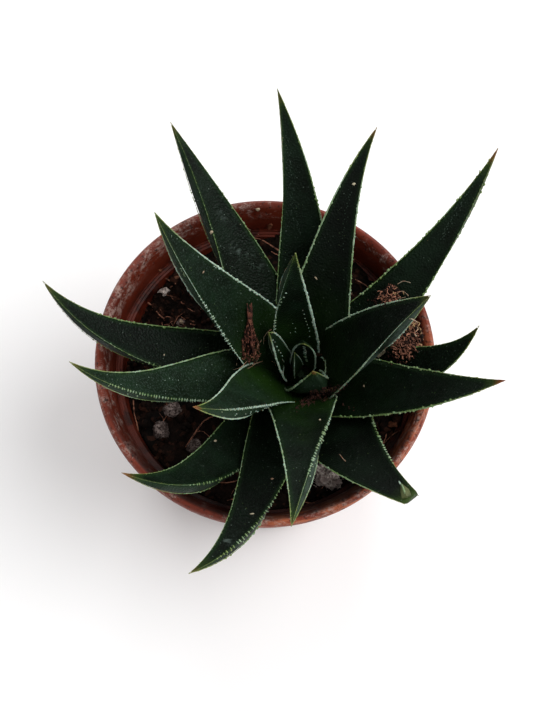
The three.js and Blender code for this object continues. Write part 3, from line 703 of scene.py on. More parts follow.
def pot_finish(settings):
    """Brick-coloured moulded plastic with lime round the lip, painted light and shade, and darker inside."""
    made = Finish("moulded plastic", roughness=0.5, specular=0.25)
    fine = made.noise(420, 4, 0.65)
    inside = made.attribute("inside")
    x, y, height = made.add("ShaderNodeSeparateXYZ", {0: made.place}).outputs
    near_lip = made.between(height, (POT_HEIGHT - 8) * MM, (POT_HEIGHT - 2) * MM)
    low = made.between(height, (POT_HEIGHT - 7) * MM, (POT_HEIGHT - 15) * MM)
    upper_left = made.between(made.math("SUBTRACT", made.times(y, 0.3), x), 0.008, 0.05)
    lower_right = made.between(made.math("SUBTRACT", x, y), 0.03, 0.06)

    broad = made.between(made.noise(38, 5, 0.65), 0.35, 0.65, 0.35, 0.9)
    color = made.mix(broad, settings.pot_dark, settings.pot_light)
    color = made.mix(made.between(fine, 0.58, 0.75, 0.0, 0.7), color, settings.pot_dark)
    # Darker all over the inside.
    color = made.mix(made.times(inside, 0.5), color, settings.pot_dark)

    # Painted light: orange streaks over the lip on the lower right, the side the lamp lights.
    streaks = made.between(made.noise(420, 4, 0.6, vector=made.stretched((0.25, 0.25, 3))), 0.4, 0.62)
    color = made.mix(made.times(lower_right, streaks, near_lip, 0.8), color, settings.pot_lit_orange)

    blotches = made.noise(230, 8, 0.8, vector=made.stretched((1, 1, 2)), distortion=0.5)
    # Pale lime crust round the lip, laid most at the upper left and lower right, where it also stands in for
    # painted light on the lit lip.
    lime_and_lit_zones = made.math("ADD", upper_left, made.times(lower_right, 0.7))
    reach = made.math("ADD", blotches, made.times(lime_and_lit_zones, 0.06))
    crumbled = made.between(made.noise(900, 4, 0.7), 0.36, 0.56)
    lime_and_light = made.times(made.between(reach, 0.52, 0.66), near_lip, crumbled)
    color = made.mix(made.times(lime_and_light, 0.75), color, settings.lime_and_light)

    pits = made.between(made.noise(750, 3, 0.6), 0.58, 0.66)
    color = made.mix(made.times(pits, near_lip, 0.75), color, settings.soil_dark_and_shade)
    # Painted shade: the inside of the near side, turned away from the light, darkened to the peat's colour.
    near_side_shade = made.between(y, -0.01, -0.035)
    color = made.mix(made.times(near_side_shade, inside, 0.75), color, settings.soil_dark_and_shade)
    # Darker in blotches low down inside the wall.
    low_inside_blotches = made.between(made.noise(170, 5, 0.7), 0.46, 0.6)
    color = made.mix(made.times(low_inside_blotches, low, inside, 0.8), color, settings.soil_dark_and_shade)

    rings = made.noise(60, 2, vector=made.stretched((0.6, 0.6, 40)))
    scratches = made.noise(50, 3, vector=made.stretched((14, 14, 0.8), (0, 0.3, 0)))
    relief = made.bump(rings, 0.12, 0.0003)
    relief = made.bump(scratches, 0.08, 0.0003, relief)
    relief = made.bump(made.math("ADD", fine, lime_and_light), 0.35, 0.00025, relief)
    roughness = made.math("ADD", made.between(fine, 0.2, 0.8, 0.42, 0.6), made.times(lime_and_light, 0.3))
    return made.finish(color, roughness, relief)


def soil_finish(name, settings, lighter=0.0):
    """Moist peat: nearly black, with brown and reddish crumbs."""
    made = Finish(name, roughness=0.9, specular=0.1)
    broad = made.noise(130, 5, 0.65)
    crumbs = made.cells(620, output="Color")
    color = made.mix(made.between(broad, 0.35, 0.7), settings.soil_dark_and_shade, settings.soil_light)
    share = made.between(made.math("ADD", crumbs, lighter), 0.62, 0.95)
    color = made.mix(made.times(share, 0.8), color, settings.bark)
    relief = made.bump(made.noise(700, 5, 0.7), 0.8, 0.0006)
    return made.finish(color, normal=relief)


def stone_finish(name, light, dark):
    """Dusty pumice, pink-grey with dark pores."""
    made = Finish(name, roughness=0.95, specular=0.15)
    broad = made.noise(260, 5, 0.7)
    pores = made.between(made.noise(1500, 2, 0.6), 0.4, 0.52)
    color = made.mix(made.between(broad, 0.38, 0.62), dark, light)
    color = made.mix(made.math("SUBTRACT", 1.0, pores), color, dark)
    relief = made.bump(pores, 0.5, 0.0004)
    return made.finish(color, normal=made.bump(made.noise(1200, 4), 0.5, 0.0003, relief))


def fibre_finish(name, dark, light):
    """Coir and root fibre, its colour changing from strand to strand."""
    made = Finish(name, roughness=0.75, specular=0.25)
    change = made.noise(650, 4, 0.7)
    color = made.mix(made.between(change, 0.34, 0.66), dark, light)
    return made.finish(color, normal=made.bump(made.noise(2500, 2), 0.4, 0.0001))


def flake_finish(settings):
    """Dry flakes and husks, cream to rusty brown from piece to piece."""
    made = Finish("dry flakes", roughness=0.8, specular=0.2)
    change = made.noise(90, 2)
    color = made.mix(made.attribute("rust"), settings.flake_pale, settings.flake_rusty)
    color = made.mix(made.between(change, 0.4, 0.75, 0.0, 0.4), color, settings.flake_rusty)
    color = made.mix(made.between(made.noise(1400, 3), 0.5, 0.8, 0.0, 0.5), color, settings.bark)
    return made.finish(color, normal=made.bump(made.noise(1800, 4, 0.7), 0.5, 0.0003))


def piece_from(bm, name, materials, replaced=()):
    """Turns a bmesh in millimetres into a piece of the object, shaded smooth."""
    bmesh.ops.scale(bm, vec=(MM, MM, MM), verts=bm.verts)
    mesh = bpy.data.meshes.new(name)
    bm.to_mesh(mesh)
    bm.free()
    mesh.shade_smooth()
    for material in materials:
        mesh.materials.append(material)
    piece = bpy.data.objects.new(name, mesh)
    bpy.context.scene.collection.objects.link(piece)
    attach(piece, "root")
    if replaced:
        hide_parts(*replaced)
    return piece


def mark_faces(verts, slot):
    """Gives the faces at these points the material in that slot of their piece."""
    for face in {face for vert in verts for face in vert.link_faces}:
        face.material_index = slot


def seen_at(x, y):
    """Where the photograph's pixel x, y meets what is made so far, in millimetres, and the surface there."""
    right = Vector((1, 0, 0))
    ray = LOOK * FOCAL_PIXELS + right * (x - PHOTO_WIDTH / 2) - right.cross(LOOK) * (y - PHOTO_HEIGHT / 2)
    bpy.context.view_layer.update()
    graph = bpy.context.evaluated_depsgraph_get()
    hit, place, normal, *_ = bpy.context.scene.ray_cast(graph, CAMERA_PLACE * MM, ray.normalized())
    if not hit:
        raise ValueError(f"Nothing lies under pixel {x}, {y}")
    return place / MM, normal


def add_strands(bm, lines, slot=0):
    """Adds round strands to a bmesh, each a list of (point, radius) in millimetres."""
    curve = bpy.data.curves.new("strands", "CURVE")
    curve.dimensions = "3D"
    curve.bevel_depth = 1
    curve.bevel_resolution = 1
    curve.use_fill_caps = True
    for line in lines:
        spline = curve.splines.new("POLY")
        spline.points.add(len(line) - 1)
        for point, (place, radius) in zip(spline.points, line):
            point.co = (*place, 1)
            point.radius = radius
    holder = bpy.data.objects.new("strands", curve)
    mesh = bpy.data.meshes.new_from_object(holder)
    first = len(bm.faces)
    bm.from_mesh(mesh)
    bm.faces.ensure_lookup_table()
    for face in bm.faces[first:]:
        face.material_index = slot
    bpy.data.objects.remove(holder)
    bpy.data.curves.remove(curve)
    bpy.data.meshes.remove(mesh)


def bead_place(centre, axes, size):
    """The matrix that turns a unit ball into a bead: axes are its directions and size its half sizes."""
    columns = [axis * half for axis, half in zip(axes, size)]
    return Matrix.Translation(centre) @ Matrix(columns).transposed().to_4x4()


def add_beads(bm, places, slot=0):
    """Adds a rounded bead at each place, in batches, because a small mesh grows faster."""
    first = len(bm.faces)
    mesh = bpy.data.meshes.new("beads")
    for start in range(0, len(places), BATCH):
        batch = bmesh.new()
        for place in places[start : start + BATCH]:
            bmesh.ops.create_icosphere(batch, subdivisions=1, radius=1, matrix=place)
        batch.to_mesh(mesh)
        batch.free()
        bm.from_mesh(mesh)
    bpy.data.meshes.remove(mesh)
    bm.faces.ensure_lookup_table()
    for face in bm.faces[first:]:
        face.material_index = slot


def section_places():
    """The places round a leaf's section that its mesh has columns at, counted in corners."""
    places = []
    for corner, parts in enumerate(SIDE_PARTS):
        places += [corner + part / parts for part in range(parts)]
    return [*places, len(SIDE_PARTS)]


def leaf_body(leaf, steps):
    """A leaf's closed skin, rolled up from a grid, with what its finish needs stored on its points."""
    places = section_places()
    columns = len(places) - 1
    bm = bmesh.new()
    bmesh.ops.create_grid(bm, x_segments=columns, y_segments=steps, size=1)
    edge = bm.verts.layers.float.new("edge")
    under = bm.verts.layers.float.new("under")
    margins = []
    for vert in bm.verts:
        column = round((vert.co.x + 1) / 2 * columns)
        t = (vert.co.y + 1) / 2
        place = places[column]
        half = leaf.half(t)
        vert.co = leaf.edge_point(min(t, LAST_T), place)
        span = place if place <= RIGHT_MARGIN / 2 else abs(place - RIGHT_MARGIN)
        span = min(span, len(SIDE_PARTS) - place)
        vert[edge] = span * half / 2
        vert[under] = 1.0 if RIGHT_MARGIN < place < len(SIDE_PARTS) else 0.0
        if place % len(SIDE_PARTS) in (LEFT_MARGIN, RIGHT_MARGIN):
            margins.append(vert)
    bmesh.ops.remove_doubles(bm, verts=bm.verts, dist=WELD)
    margins = {vert for vert in margins if vert.is_valid}
    ends = [e for e in bm.edges if e.is_boundary]
    bmesh.ops.holes_fill(bm, edges=ends)
    inner = [v for v in bm.verts if v not in margins]
    for _ in range(SMOOTH_ROUNDS):
        bmesh.ops.smooth_vert(
            bm, verts=inner, factor=SMOOTHING, use_axis_x=True, use_axis_y=True, use_axis_z=True
        )
    bmesh.ops.recalc_face_normals(bm, faces=bm.faces)
    return bm


def margin_lines(leaf):
    """The pale lines along a leaf: each one's place, and its thickness on the inner and outer stretch."""
    far, near, keel = leaf.pale
    if not leaf.flank:
        return (leaf.far_margin, far, far), (leaf.keel_margin, near, near), (KEEL, keel, keel)
    return (leaf.far_margin, far, far), (leaf.keel_margin, near, near * 0.4), (KEEL, keel * 0.3, keel)


def add_margins(bm, leaf, settings):
    """The pale edges: lumpy lines along the margins and the outer keel, rows of beads on them, and bars."""
    draw = random.Random(leaf.seed * 17 + 5)
    thin = min(1.0, leaf.width / 16)
    steps = 2 * max(FEWEST_STEPS, int(leaf.length / LEAF_PITCH))
    start, end = leaf.ladder
    strands = []
    beads = []
    for place, inner, outer in margin_lines(leaf):
        if not inner + outer:
            continue
        barred = place == leaf.keel_margin and end > 0
        line = []
        for i in range(steps + 1):
            t = lerp(0.05, 1, i / steps)
            swell = lerp(inner, outer, smoothstep(0.45, 0.65, t)) * lerp(1, 0.5, smoothstep(0.6, 1, t))
            swell *= smoothstep(0, 0.15, t) / leaf.coarse
            if barred:
                swell *= 1 - 0.75 * smoothstep(start, start + 0.08, t) * smoothstep(end, end - 0.08, t)
            thick = settings.edge_radius / MM * thin * swell * draw.uniform(0.55, 1.3)
            line.append((leaf.edge_point(t, place), thick))
        strands.append(line)
        pitch = settings.bead_pitch / MM * lerp(0.6, 1, thin) * leaf.coarse / max(1, inner)
        count = int(leaf.length * 0.9 / pitch)
        for i in range(count):
            t = lerp(0.06, 0.97, (i + draw.uniform(0.1, 0.9)) / count)
            if draw.random() < MISSING_BEADS or barred and start < t < end:
                continue
            swell = lerp(inner, outer, smoothstep(0.4, 0.7, t)) ** 0.7 * lerp(1, 0.55, smoothstep(0.6, 1, t))
            size = settings.bead_size / MM * thin * leaf.coarse * swell * draw.uniform(0.5, 1.2)
            at = leaf.edge_point(t, place)
            outward = (at - leaf.point(t)).normalized()
            along = leaf.along(t)
            at += outward * size * draw.uniform(-0.6, 0.5)
            shape = (size * draw.uniform(0.8, 1.3), size * 0.75, size * 0.75)
            beads.append(bead_place(at, (along, outward, along.cross(outward)), shape))
    add_strands(bm, strands, 1)
    add_beads(bm, beads + bar_places(leaf, settings, draw), 1)


def bar_places(leaf, settings, draw):
    """Short pale bars across the margin over the keel, like a ladder's rungs, and a few beads beyond them."""
    start, end = leaf.ladder
    count = int(leaf.length * (end - start) / (settings.bar_pitch / MM * leaf.coarse))
    strength = min(1.1, leaf.pale[1] + 0.2)
    step = leaf.flank_step * 0.25
    places = []
    for i in range(count):
        t = lerp(start, end, (i + draw.uniform(0.25, 0.75)) / count)
        fade = smoothstep(start - 0.01, start + 0.1, t) * smoothstep(end + 0.01, end - 0.1, t)
        half = settings.bar_length / MM / 2 * strength * lerp(0.5, 1, fade) * draw.uniform(0.55, 1.15)
        at = leaf.edge_point(t, leaf.keel_margin + step * draw.uniform(-0.1, 0.3))
        face, flank = [leaf.edge_point(t, leaf.keel_margin + side) for side in (-step, step)]
        across = ((face - at).normalized() - (flank - at).normalized()).normalized()
        along = (leaf.along(t) + across * draw.uniform(-0.35, 0.35)).normalized()
        thick = draw.uniform(0.18, 0.28) * strength
        places.append(bead_place(at, (along, across, along.cross(across)), (thick, half, thick)))
        if draw.random() < BEADS_BEYOND:
            beyond = leaf.edge_point(t, leaf.keel_margin + leaf.flank_step * draw.uniform(0.4, 1.1))
            size = draw.uniform(0.15, 0.3) * strength
            places.append(bead_place(beyond, (along, across, along.cross(across)), (size, size * 1.4, size)))
    return places


def store_tints(bm, leaf):
    """Stores how far out on the leaf each point is, its foot's glow, its wear, and the leaf's own tints."""
    along = bm.verts.layers.float.new("along")
    glow = bm.verts.layers.float.new("glow")
    wear = bm.verts.layers.float.new("wear")
    tints = {name: bm.verts.layers.float.new(name) for name in TINTS}
    tree = kdtree.KDTree(TINT_STEPS + 1)
    for i in range(TINT_STEPS + 1):
        tree.insert(leaf.point(i / TINT_STEPS), i)
    tree.balance()
    rubbed = [leaf.at(t, place) for t, place in leaf.wear]
    for vert in bm.verts:
        t = tree.find(vert.co)[1] / TINT_STEPS
        vert[along] = t
        blush = noise.noise(vert.co * 0.12) * 0.15
        vert[glow] = leaf.glow * smoothstep(0.55, 0.08, t + blush)
        vert[wear] = min(1.0, sum(math.exp(-((vert.co - spot).length / WEAR_SIZE) ** 2) for spot in rubbed))
        for name, layer in tints.items():
            vert[layer] = getattr(leaf, name)


def color_prop(name, description, default):
    return bpy.props.FloatVectorProperty(name=name, description=description, subtype="COLOR", default=default)


def number_prop(name, description, default, unit="NONE"):
    return bpy.props.FloatProperty(name=name, description=description, default=default, unit=unit)


class HAWORTHIA_PG_leaves(bpy.types.PropertyGroup):
    leaf_dark: color_prop("Leaf, dark", "Darkest green of the flesh", (0.0025, 0.007, 0.0025))
    leaf_light: color_prop("Leaf, light", "Waxy green of the flesh", (0.007, 0.019, 0.0085))
    # Grey bloom on the grain, partly painted sheen.
    leaf_bloom_and_sheen: color_prop("Leaf grain", "Greyish bloom on the grain of the skin", (0.022, 0.038, 0.027))
    leaf_under: color_prop("Underside", "Green of the flanks and the underside", (0.008, 0.021, 0.008))
    # Pale flank colour: partly the frosted skin, partly painted light.
    leaf_frost_and_light: color_prop("Frosted flank", "Pale grey-green of flanks in the light", (0.09, 0.135, 0.105))
    leaf_rim: color_prop("Leaf rim", "Fresher green beside the margins", (0.008, 0.026, 0.006))
    leaf_foot: color_prop("Foot", "Yellow-green near the crown", (0.009, 0.028, 0.003))
    leaf_tip: color_prop("Tip", "Olive of the outer end", (0.03, 0.055, 0.009))
    leaf_worn: color_prop("Rubbed skin", "Greyish white where the skin is rubbed", (0.12, 0.16, 0.14))
    horn: color_prop("Margin", "Pale mint of the beads", (0.4, 0.52, 0.43))
    horn_green: color_prop("Margin, green", "Yellow-green of duller beads", (0.13, 0.21, 0.065))
    horn_tip: color_prop("Margin at the tip", "Yellower margin far out", (0.16, 0.21, 0.05))
    fold_light: color_prop("Fold, light", "Lit flesh of the folded tip", (0.1, 0.115, 0.045))
    fold_dark: color_prop("Fold, dark", "Duller flesh of the folded tip", (0.05, 0.06, 0.028))
    point: color_prop("Point", "Dry brown of the very tip", (0.2, 0.06, 0.02))
    bead_size: number_prop("Bead size", "Half width of a bead", 0.0004, "LENGTH")
    bead_pitch: number_prop("Bead pitch", "Distance between beads", 0.0011, "LENGTH")
    bar_length: number_prop("Bar length", "Length of a pale bar over the margin", 0.0013, "LENGTH")
    bar_pitch: number_prop("Bar pitch", "Distance between bars", 0.00105, "LENGTH")
    edge_radius: number_prop("Edge radius", "Radius of the pale line", 0.00026, "LENGTH")


class HAWORTHIA_PG_pot(bpy.types.PropertyGroup):
    pot_dark: color_prop("Plastic, dark", "Darker brick red", (0.065, 0.007, 0.002))
    pot_light: color_prop("Plastic, light", "Lighter brick red", (0.22, 0.032, 0.012))
    # Painted light on the lit side of the lip.
    pot_lit_orange: color_prop("Pot, warm", "Orange lip at the lit side", (0.42, 0.12, 0.05))
    # Pale lime crust, partly standing in for painted light on the lit lip.
    lime_and_light: color_prop("Lime", "Pale lime stains", (0.4, 0.28, 0.24))
    # Dark peat, also used as the colour of painted shade inside the pot.
    soil_dark_and_shade: color_prop("Peat, dark", "Moist peat", (0.003, 0.002, 0.0015))
    soil_light: color_prop("Peat, light", "Drier peat", (0.012, 0.006, 0.004))
    bark: color_prop("Bark", "Reddish crumbs", (0.048, 0.018, 0.011))
    stone_light: color_prop("Pumice, light", "Pale pumice", (0.27, 0.21, 0.19))
    stone_pale: color_prop("Pumice, dusty", "Woolly and dusty pumice", (0.9, 0.78, 0.7))
    stone_dark: color_prop("Pumice, dark", "Pores of the pumice", (0.05, 0.034, 0.03))
    fibre_light: color_prop("Coir, light", "Lit coir strands", (0.42, 0.18, 0.11))
    fibre_dark: color_prop("Coir, dark", "Dark coir strands", (0.035, 0.011, 0.007))
    fibre_golden: color_prop("Coir, golden", "Golden strands", (0.55, 0.34, 0.16))
    stalk: color_prop("Dry stalk", "Reddish brown of the stalk's scales", (0.17, 0.055, 0.034))
    crevice: color_prop("Crevice litter", "Dark crumbs between the leaves", (0.066, 0.021, 0.013))
    flake_pale: color_prop("Flakes, pale", "Cream husks and chips", (0.45, 0.4, 0.28))
    flake_rusty: color_prop("Flakes, rusty", "Rusty bits of bark", (0.2, 0.07, 0.035))


class HAWORTHIA_PG_stage(bpy.types.PropertyGroup):
    floor_color: color_prop("Floor", "Colour of the floor", (0.94, 0.94, 0.94))
    sky_strength: number_prop("Sky", "Strength of the even light", 0.6)
    key_power: number_prop("Key light", "Power of the large light", 33, "POWER")
    rim_power: number_prop("Back light", "Power of the light behind", 8, "POWER")


class HAWORTHIA_OT_pot(bpy.types.Operator):
    """Spins the pot's section round and drills its drain holes"""

    bl_idname = "haworthia.pot"
    bl_label = "Pot"

    def section(self):
        """The section from the middle of the underside, out, over the lip and down inside."""
        top = POT_HEIGHT
        inner = RIM_RADIUS - LIP_WIDTH
        points = [
            (0, 0),
            (RECESS_INNER_RADIUS, 0),
            (RECESS_INNER_RADIUS + 1, RECESS_HEIGHT),
            (RECESS_OUTER_RADIUS, RECESS_HEIGHT),
            (RECESS_OUTER_RADIUS + 1, 0),
            (FOOT_RADIUS - 1, 0),
            (FOOT_RADIUS - 0.3, 0.5),
            (FOOT_RADIUS, 1.4),
            (SHOULDER_RADIUS + WALL, top - SHOULDER_DEPTH - 1.2),
            (COLLAR_OUTER_RADIUS - 0.3, top - COLLAR_HEIGHT),
            (COLLAR_OUTER_RADIUS - 0.2, top - COLLAR_HEIGHT + 0.6),
            (COLLAR_OUTER_RADIUS, top - 5),
            (RIM_RADIUS - 0.5, top - 4),
            (RIM_RADIUS - 0.1, top - 3.5),
            (RIM_RADIUS, top - 2.3),
            (RIM_RADIUS - 0.2, top - 1.1),
            (RIM_RADIUS - 0.7, top - 0.4),
            (RIM_RADIUS - 1.4, top),
            (inner + 1.2, top - 0.2),
            (inner + 0.5, top - 0.6),
            (inner, top - 1.4),
            (COLLAR_INNER_RADIUS + 0.9, top - LIP_DROP + 0.7),
            (COLLAR_INNER_RADIUS + 0.5, top - LIP_DROP),
            (COLLAR_INNER_RADIUS + 0.05, top - LEDGE_DEPTH + 0.6),
            (COLLAR_INNER_RADIUS - 0.1, top - LEDGE_DEPTH),
        ]
        for rib in range(RIB_COUNT):
            radius = COLLAR_INNER_RADIUS - 0.5 - rib * RIB_PITCH
            z = top - LEDGE_DEPTH - rib * RIB_PITCH
            points += [(radius, z), (radius - 0.05, z - RIB_DROP)]
        points += [
            (SHOULDER_RADIUS, top - SHOULDER_DEPTH),
            (FOOT_RADIUS - WALL, FLOOR_Z + 1),
            (FOOT_RADIUS - WALL - 1, FLOOR_Z),
            (0, FLOOR_Z),
        ]
        return points

    def spun(self):
        """The section spun round, with what lies past the lip's crest marked as inside."""
        section = self.section()
        crest = [z for r, z in section].index(POT_HEIGHT)
        bm = bmesh.new()
        inside = bm.verts.layers.float.new("inside")
        verts = []
        for i, (r, z) in enumerate(section):
            vert = bm.verts.new((r, 0, z))
            vert[inside] = 1.0 if i > crest else 0.0
            verts.append(vert)
        edges = [bm.edges.new(pair) for pair in zip(verts, verts[1:])]
        bmesh.ops.spin(
            bm,
            geom=[*verts, *edges],
            axis=(0, 0, 1),
            cent=(0, 0, 0),
            angle=2 * math.pi,
            steps=POT_SIDES,
            use_merge=True,
        )
        bmesh.ops.remove_doubles(bm, verts=bm.verts, dist=POT_WELD)
        bmesh.ops.recalc_face_normals(bm, faces=bm.faces)
        return bm

    def drill(self, pot):
        """Cuts the drain holes through the pot's floor."""
        bm = bmesh.new()
        for i in range(DRAIN_COUNT):
            angle = (i + 0.5) * 2 * math.pi / DRAIN_COUNT
            centre = Vector((math.cos(angle), math.sin(angle), 0)) * DRAIN_CIRCLE_RADIUS * MM
            bmesh.ops.create_cone(
                bm,
                cap_ends=True,
                segments=DRILL_SIDES,
                radius1=DRAIN_RADIUS * MM,
                radius2=DRAIN_RADIUS * MM,
                depth=4 * FLOOR_Z * MM,
                matrix=Matrix.Translation(centre),
            )
        mesh = bpy.data.meshes.new("drills")
        bm.to_mesh(mesh)
        bm.free()
        drills = bpy.data.objects.new("drills", mesh)
        bpy.context.scene.collection.objects.link(drills)
        cut = pot.modifiers.new("drain holes", "BOOLEAN")
        cut.object = drills
        cut.solver = "EXACT"
        bpy.context.view_layer.objects.active = pot
        bpy.ops.object.modifier_apply(modifier=cut.name)
        bpy.data.objects.remove(drills)

    def execute(self, context):
        plastic = pot_finish(context.scene.haworthia_pot)
        pot = piece_from(self.spun(), "moulded_pot", [plastic], ["pot"])
        self.drill(pot)
        pot.data.shade_smooth()
        pot.data.set_sharp_from_angle(angle=SHARP_ANGLE)
        return {"FINISHED"}


class HAWORTHIA_OT_soil(bpy.types.Operator):
    """Lays the crumbly soil and its loose crumbs of peat and bark"""

    bl_idname = "haworthia.soil"
    bl_label = "Soil"

    def wall(self, z):
        """The soil's radius against the pot's wall at a height, in millimetres."""
        if z > POT_HEIGHT - LEDGE_DEPTH:
            return COLLAR_INNER_RADIUS - 0.4
        share = (POT_HEIGHT - LEDGE_DEPTH - z) / (SHOULDER_DEPTH - LEDGE_DEPTH)
        if share < 1:
            return lerp(COLLAR_INNER_RADIUS - 0.8, SHOULDER_RADIUS - 0.2, share)
        low = (POT_HEIGHT - SHOULDER_DEPTH - z) / (POT_HEIGHT - SHOULDER_DEPTH - FLOOR_Z)
        return lerp(SHOULDER_RADIUS - 0.2, FOOT_RADIUS - WALL - 0.3, low)

    def surface(self, x, y):
        """The soil's surface with its fine lumps, in millimetres."""
        spot = Vector((x, y, 0))
        lumps = noise.turbulence(spot * 0.22, 4, False, amplitude_scale=0.6, frequency_scale=2.1)
        return soil_top(x, y) + 1.1 * (lumps - 0.75)

    def bed(self):
        """The soil's closed skin: its lumpy surface, and sides that follow the pot's wall to the floor."""
        reach = COLLAR_INNER_RADIUS
        bm = bmesh.new()
        bmesh.ops.create_circle(bm, cap_ends=True, segments=SOIL_SIDES, radius=reach)
        for face in list(bm.faces):
            bmesh.ops.poke(bm, faces=[face])
        rings = [e for e in bm.edges if not e.is_boundary]
        bmesh.ops.subdivide_edges(bm, edges=rings, cuts=SOIL_CUTS, use_grid_fill=True)
        for vert in bm.verts:
            x, y = vert.co.x, vert.co.y
            scale = self.wall(self.surface(x, y)) / reach
            vert.co = (x * scale, y * scale, self.surface(x * scale, y * scale))
        rim = [e for e in bm.edges if e.is_boundary]
        skirt = bmesh.ops.extrude_edge_only(bm, edges=rim)["geom"]
        low = [v for v in skirt if isinstance(v, bmesh.types.BMVert)]
        for vert in low:
            vert.co.z = FLOOR_Z + GAP
            scale = (FOOT_RADIUS - WALL - 1 - GAP) / math.hypot(vert.co.x, vert.co.y)
            vert.co.x *= scale
            vert.co.y *= scale
        bmesh.ops.holes_fill(bm, edges=[e for e in bm.edges if e.is_boundary])
        bmesh.ops.recalc_face_normals(bm, faces=bm.faces)
        return bm

    def crumbs(self, draw):
        """Crumbs all over the soil, and a heap of small ones where the litter is."""
        bm = bmesh.new()
        for _ in range(SOIL_CRUMBS):
            away = (SHOULDER_RADIUS + 0.5) * math.sqrt(draw.random())
            angle = draw.uniform(0, 2 * math.pi)
            x, y = away * math.cos(angle), away * math.sin(angle)
            size = draw.uniform(0.35, LARGE_CRUMB) if draw.random() < 0.8 else draw.uniform(LARGE_CRUMB, 2.0)
            self.add_crumb(bm, Vector((x, y, self.surface(x, y) + size * 0.2)), size, draw)
        for _ in range(LITTER_CRUMBS):
            x = draw.gauss(LITTER_PLACE[0], LITTER_SPREAD / 2)
            y = draw.gauss(LITTER_PLACE[1], LITTER_SPREAD / 2)
            if math.hypot(x, y) < SHOULDER_RADIUS:
                size = draw.uniform(0.25, 0.8)
                self.add_crumb(bm, Vector((x, y, self.surface(x, y) + size * 0.6)), size, draw)
        return bm

    def add_crumb(self, bm, at, size, draw):
        made = bmesh.ops.create_icosphere(bm, subdivisions=2 if size > LARGE_CRUMB else 1, radius=size)
        stretch = Vector((draw.uniform(0.6, 1.3), draw.uniform(0.6, 1.3), draw.uniform(0.45, 0.9)))
        turn = Matrix.Rotation(draw.uniform(0, 6.3), 3, "Z")
        turn = turn @ Matrix.Rotation(draw.uniform(-0.5, 0.5), 3, "X")
        for vert in made["verts"]:
            rough = 1 + 0.35 * noise.noise(vert.co / size * 1.7 + at)
            vert.co = at + turn @ (vert.co * stretch * rough)
        mark_faces(made["verts"], 1 if draw.random() < REDDISH_SHARE else 0)

    def execute(self, context):
        settings = context.scene.haworthia_pot
        peat = soil_finish("peat", settings)
        bark = soil_finish("bark crumbs", settings, 0.22)
        piece_from(self.bed(), "peat_bed", [peat], ["soil"])
        piece_from(self.crumbs(random.Random(SOIL_SEED)), "soil_crumbs", [peat, bark])
        return {"FINISHED"}


class HAWORTHIA_OT_fibres(bpy.types.Operator):
    """Lays root fibres and curled litter on the soil and against the wall"""

    bl_idname = "haworthia.fibres"
    bl_label = "Root fibres"

    def loose_fibres(self, draw):
        """Short fibres that wander over the soil."""
        lines = []
        for _ in range(LOOSE_FIBRES):
            away = (FIBRE_REACH - 0.5) * math.sqrt(draw.random())
            angle = draw.uniform(0, 2 * math.pi)
            spot = Vector((away * math.cos(angle), away * math.sin(angle), 0))
            heading = draw.uniform(0, 2 * math.pi)
            route = []
            for _ in range(4):
                route.append((spot.x, spot.y, soil_top(spot.x, spot.y) + draw.uniform(0, 1.3)))
                heading += draw.uniform(-0.8, 0.8)
                spot = spot + Vector((math.cos(heading), math.sin(heading), 0)) * draw.uniform(1.2, 3)
                if spot.length > FIBRE_REACH:
                    break
            if len(route) > 2:
                lines.append(curved(route, draw.uniform(0.07, 0.16), draw))
        return lines

    def litter_curls(self, draw):
        """Curled strands where the litter is."""
        lines = []
        for _ in range(LITTER_CURLS):
            away, angle = LITTER_SPREAD * math.sqrt(draw.random()), draw.uniform(0, 2 * math.pi)
            x, y = LITTER_PLACE[0] + away * math.cos(angle), LITTER_PLACE[1] + away * math.sin(angle)
            if math.hypot(x, y) < FIBRE_REACH:
                at = Vector((x, y, soil_top(x, y) + draw.uniform(-0.3, 1.0)))
                lines.append(curl_line(at, draw, (0.7, 2.2), (0.08, 0.3)))
        return lines

    def execute(self, context):
        settings = context.scene.haworthia_pot
        draw = random.Random(FIBRE_SEED)
        lines = [curved(route, draw.uniform(0.16, 0.26), draw) for route in FIBRES]
        lines += self.loose_fibres(draw)
        lines += self.litter_curls(draw)
        bm = bmesh.new()
        add_strands(bm, lines)
        root = fibre_finish("root fibre", settings.fibre_dark, settings.fibre_light)
        piece_from(bm, "root_fibres", [root])
        return {"FINISHED"}


def curved(route, thick, draw):
    """A route through given points as a finely stepped line with a little wobble."""
    points = [Vector(p) for p in route]
    line = []
    for i in range(len(points) - 1):
        before = points[max(0, i - 1)]
        a, b = points[i], points[i + 1]
        after = points[min(len(points) - 1, i + 2)]
        for step in range(CURVE_STEPS):
            u = step / CURVE_STEPS
            p = 0.5 * (
                2 * a
                + (b - before) * u
                + (2 * before - 5 * a + 4 * b - after) * u * u
                + (3 * a - before - 3 * b + after) * u**3
            )
            p = p + Vector([draw.uniform(-1, 1) for _ in range(3)]) * thick * 0.4
            line.append((p, thick * draw.uniform(0.8, 1.1)))
    line.append((points[-1], thick * 0.5))
    return line


def any_way(draw):
    """A direction drawn evenly from all of them."""
    return Vector([draw.gauss(0, 1) for _ in range(3)]).normalized()


def curl_line(at, draw, radii, turns):
    """A short curled strand round a point, turned any way."""
    axis = any_way(draw)
    side = axis.orthogonal().normalized()
    other = axis.cross(side)
    radius = draw.uniform(*radii)
    turned = draw.uniform(*turns) * 2 * math.pi
    drift = draw.uniform(0.2, 1.6)
    thick = draw.uniform(0.07, 0.19)
    line = []
    for step in range(CURL_STEPS + 1):
        share = step / CURL_STEPS
        angle = share * turned
        point = side * (radius * math.cos(angle)) + other * (radius * math.sin(angle))
        point = point + axis * (drift * share)
        wobble = Vector([draw.uniform(-0.12, 0.12) for _ in range(3)])
        line.append((at + point + wobble, thick))
    return line


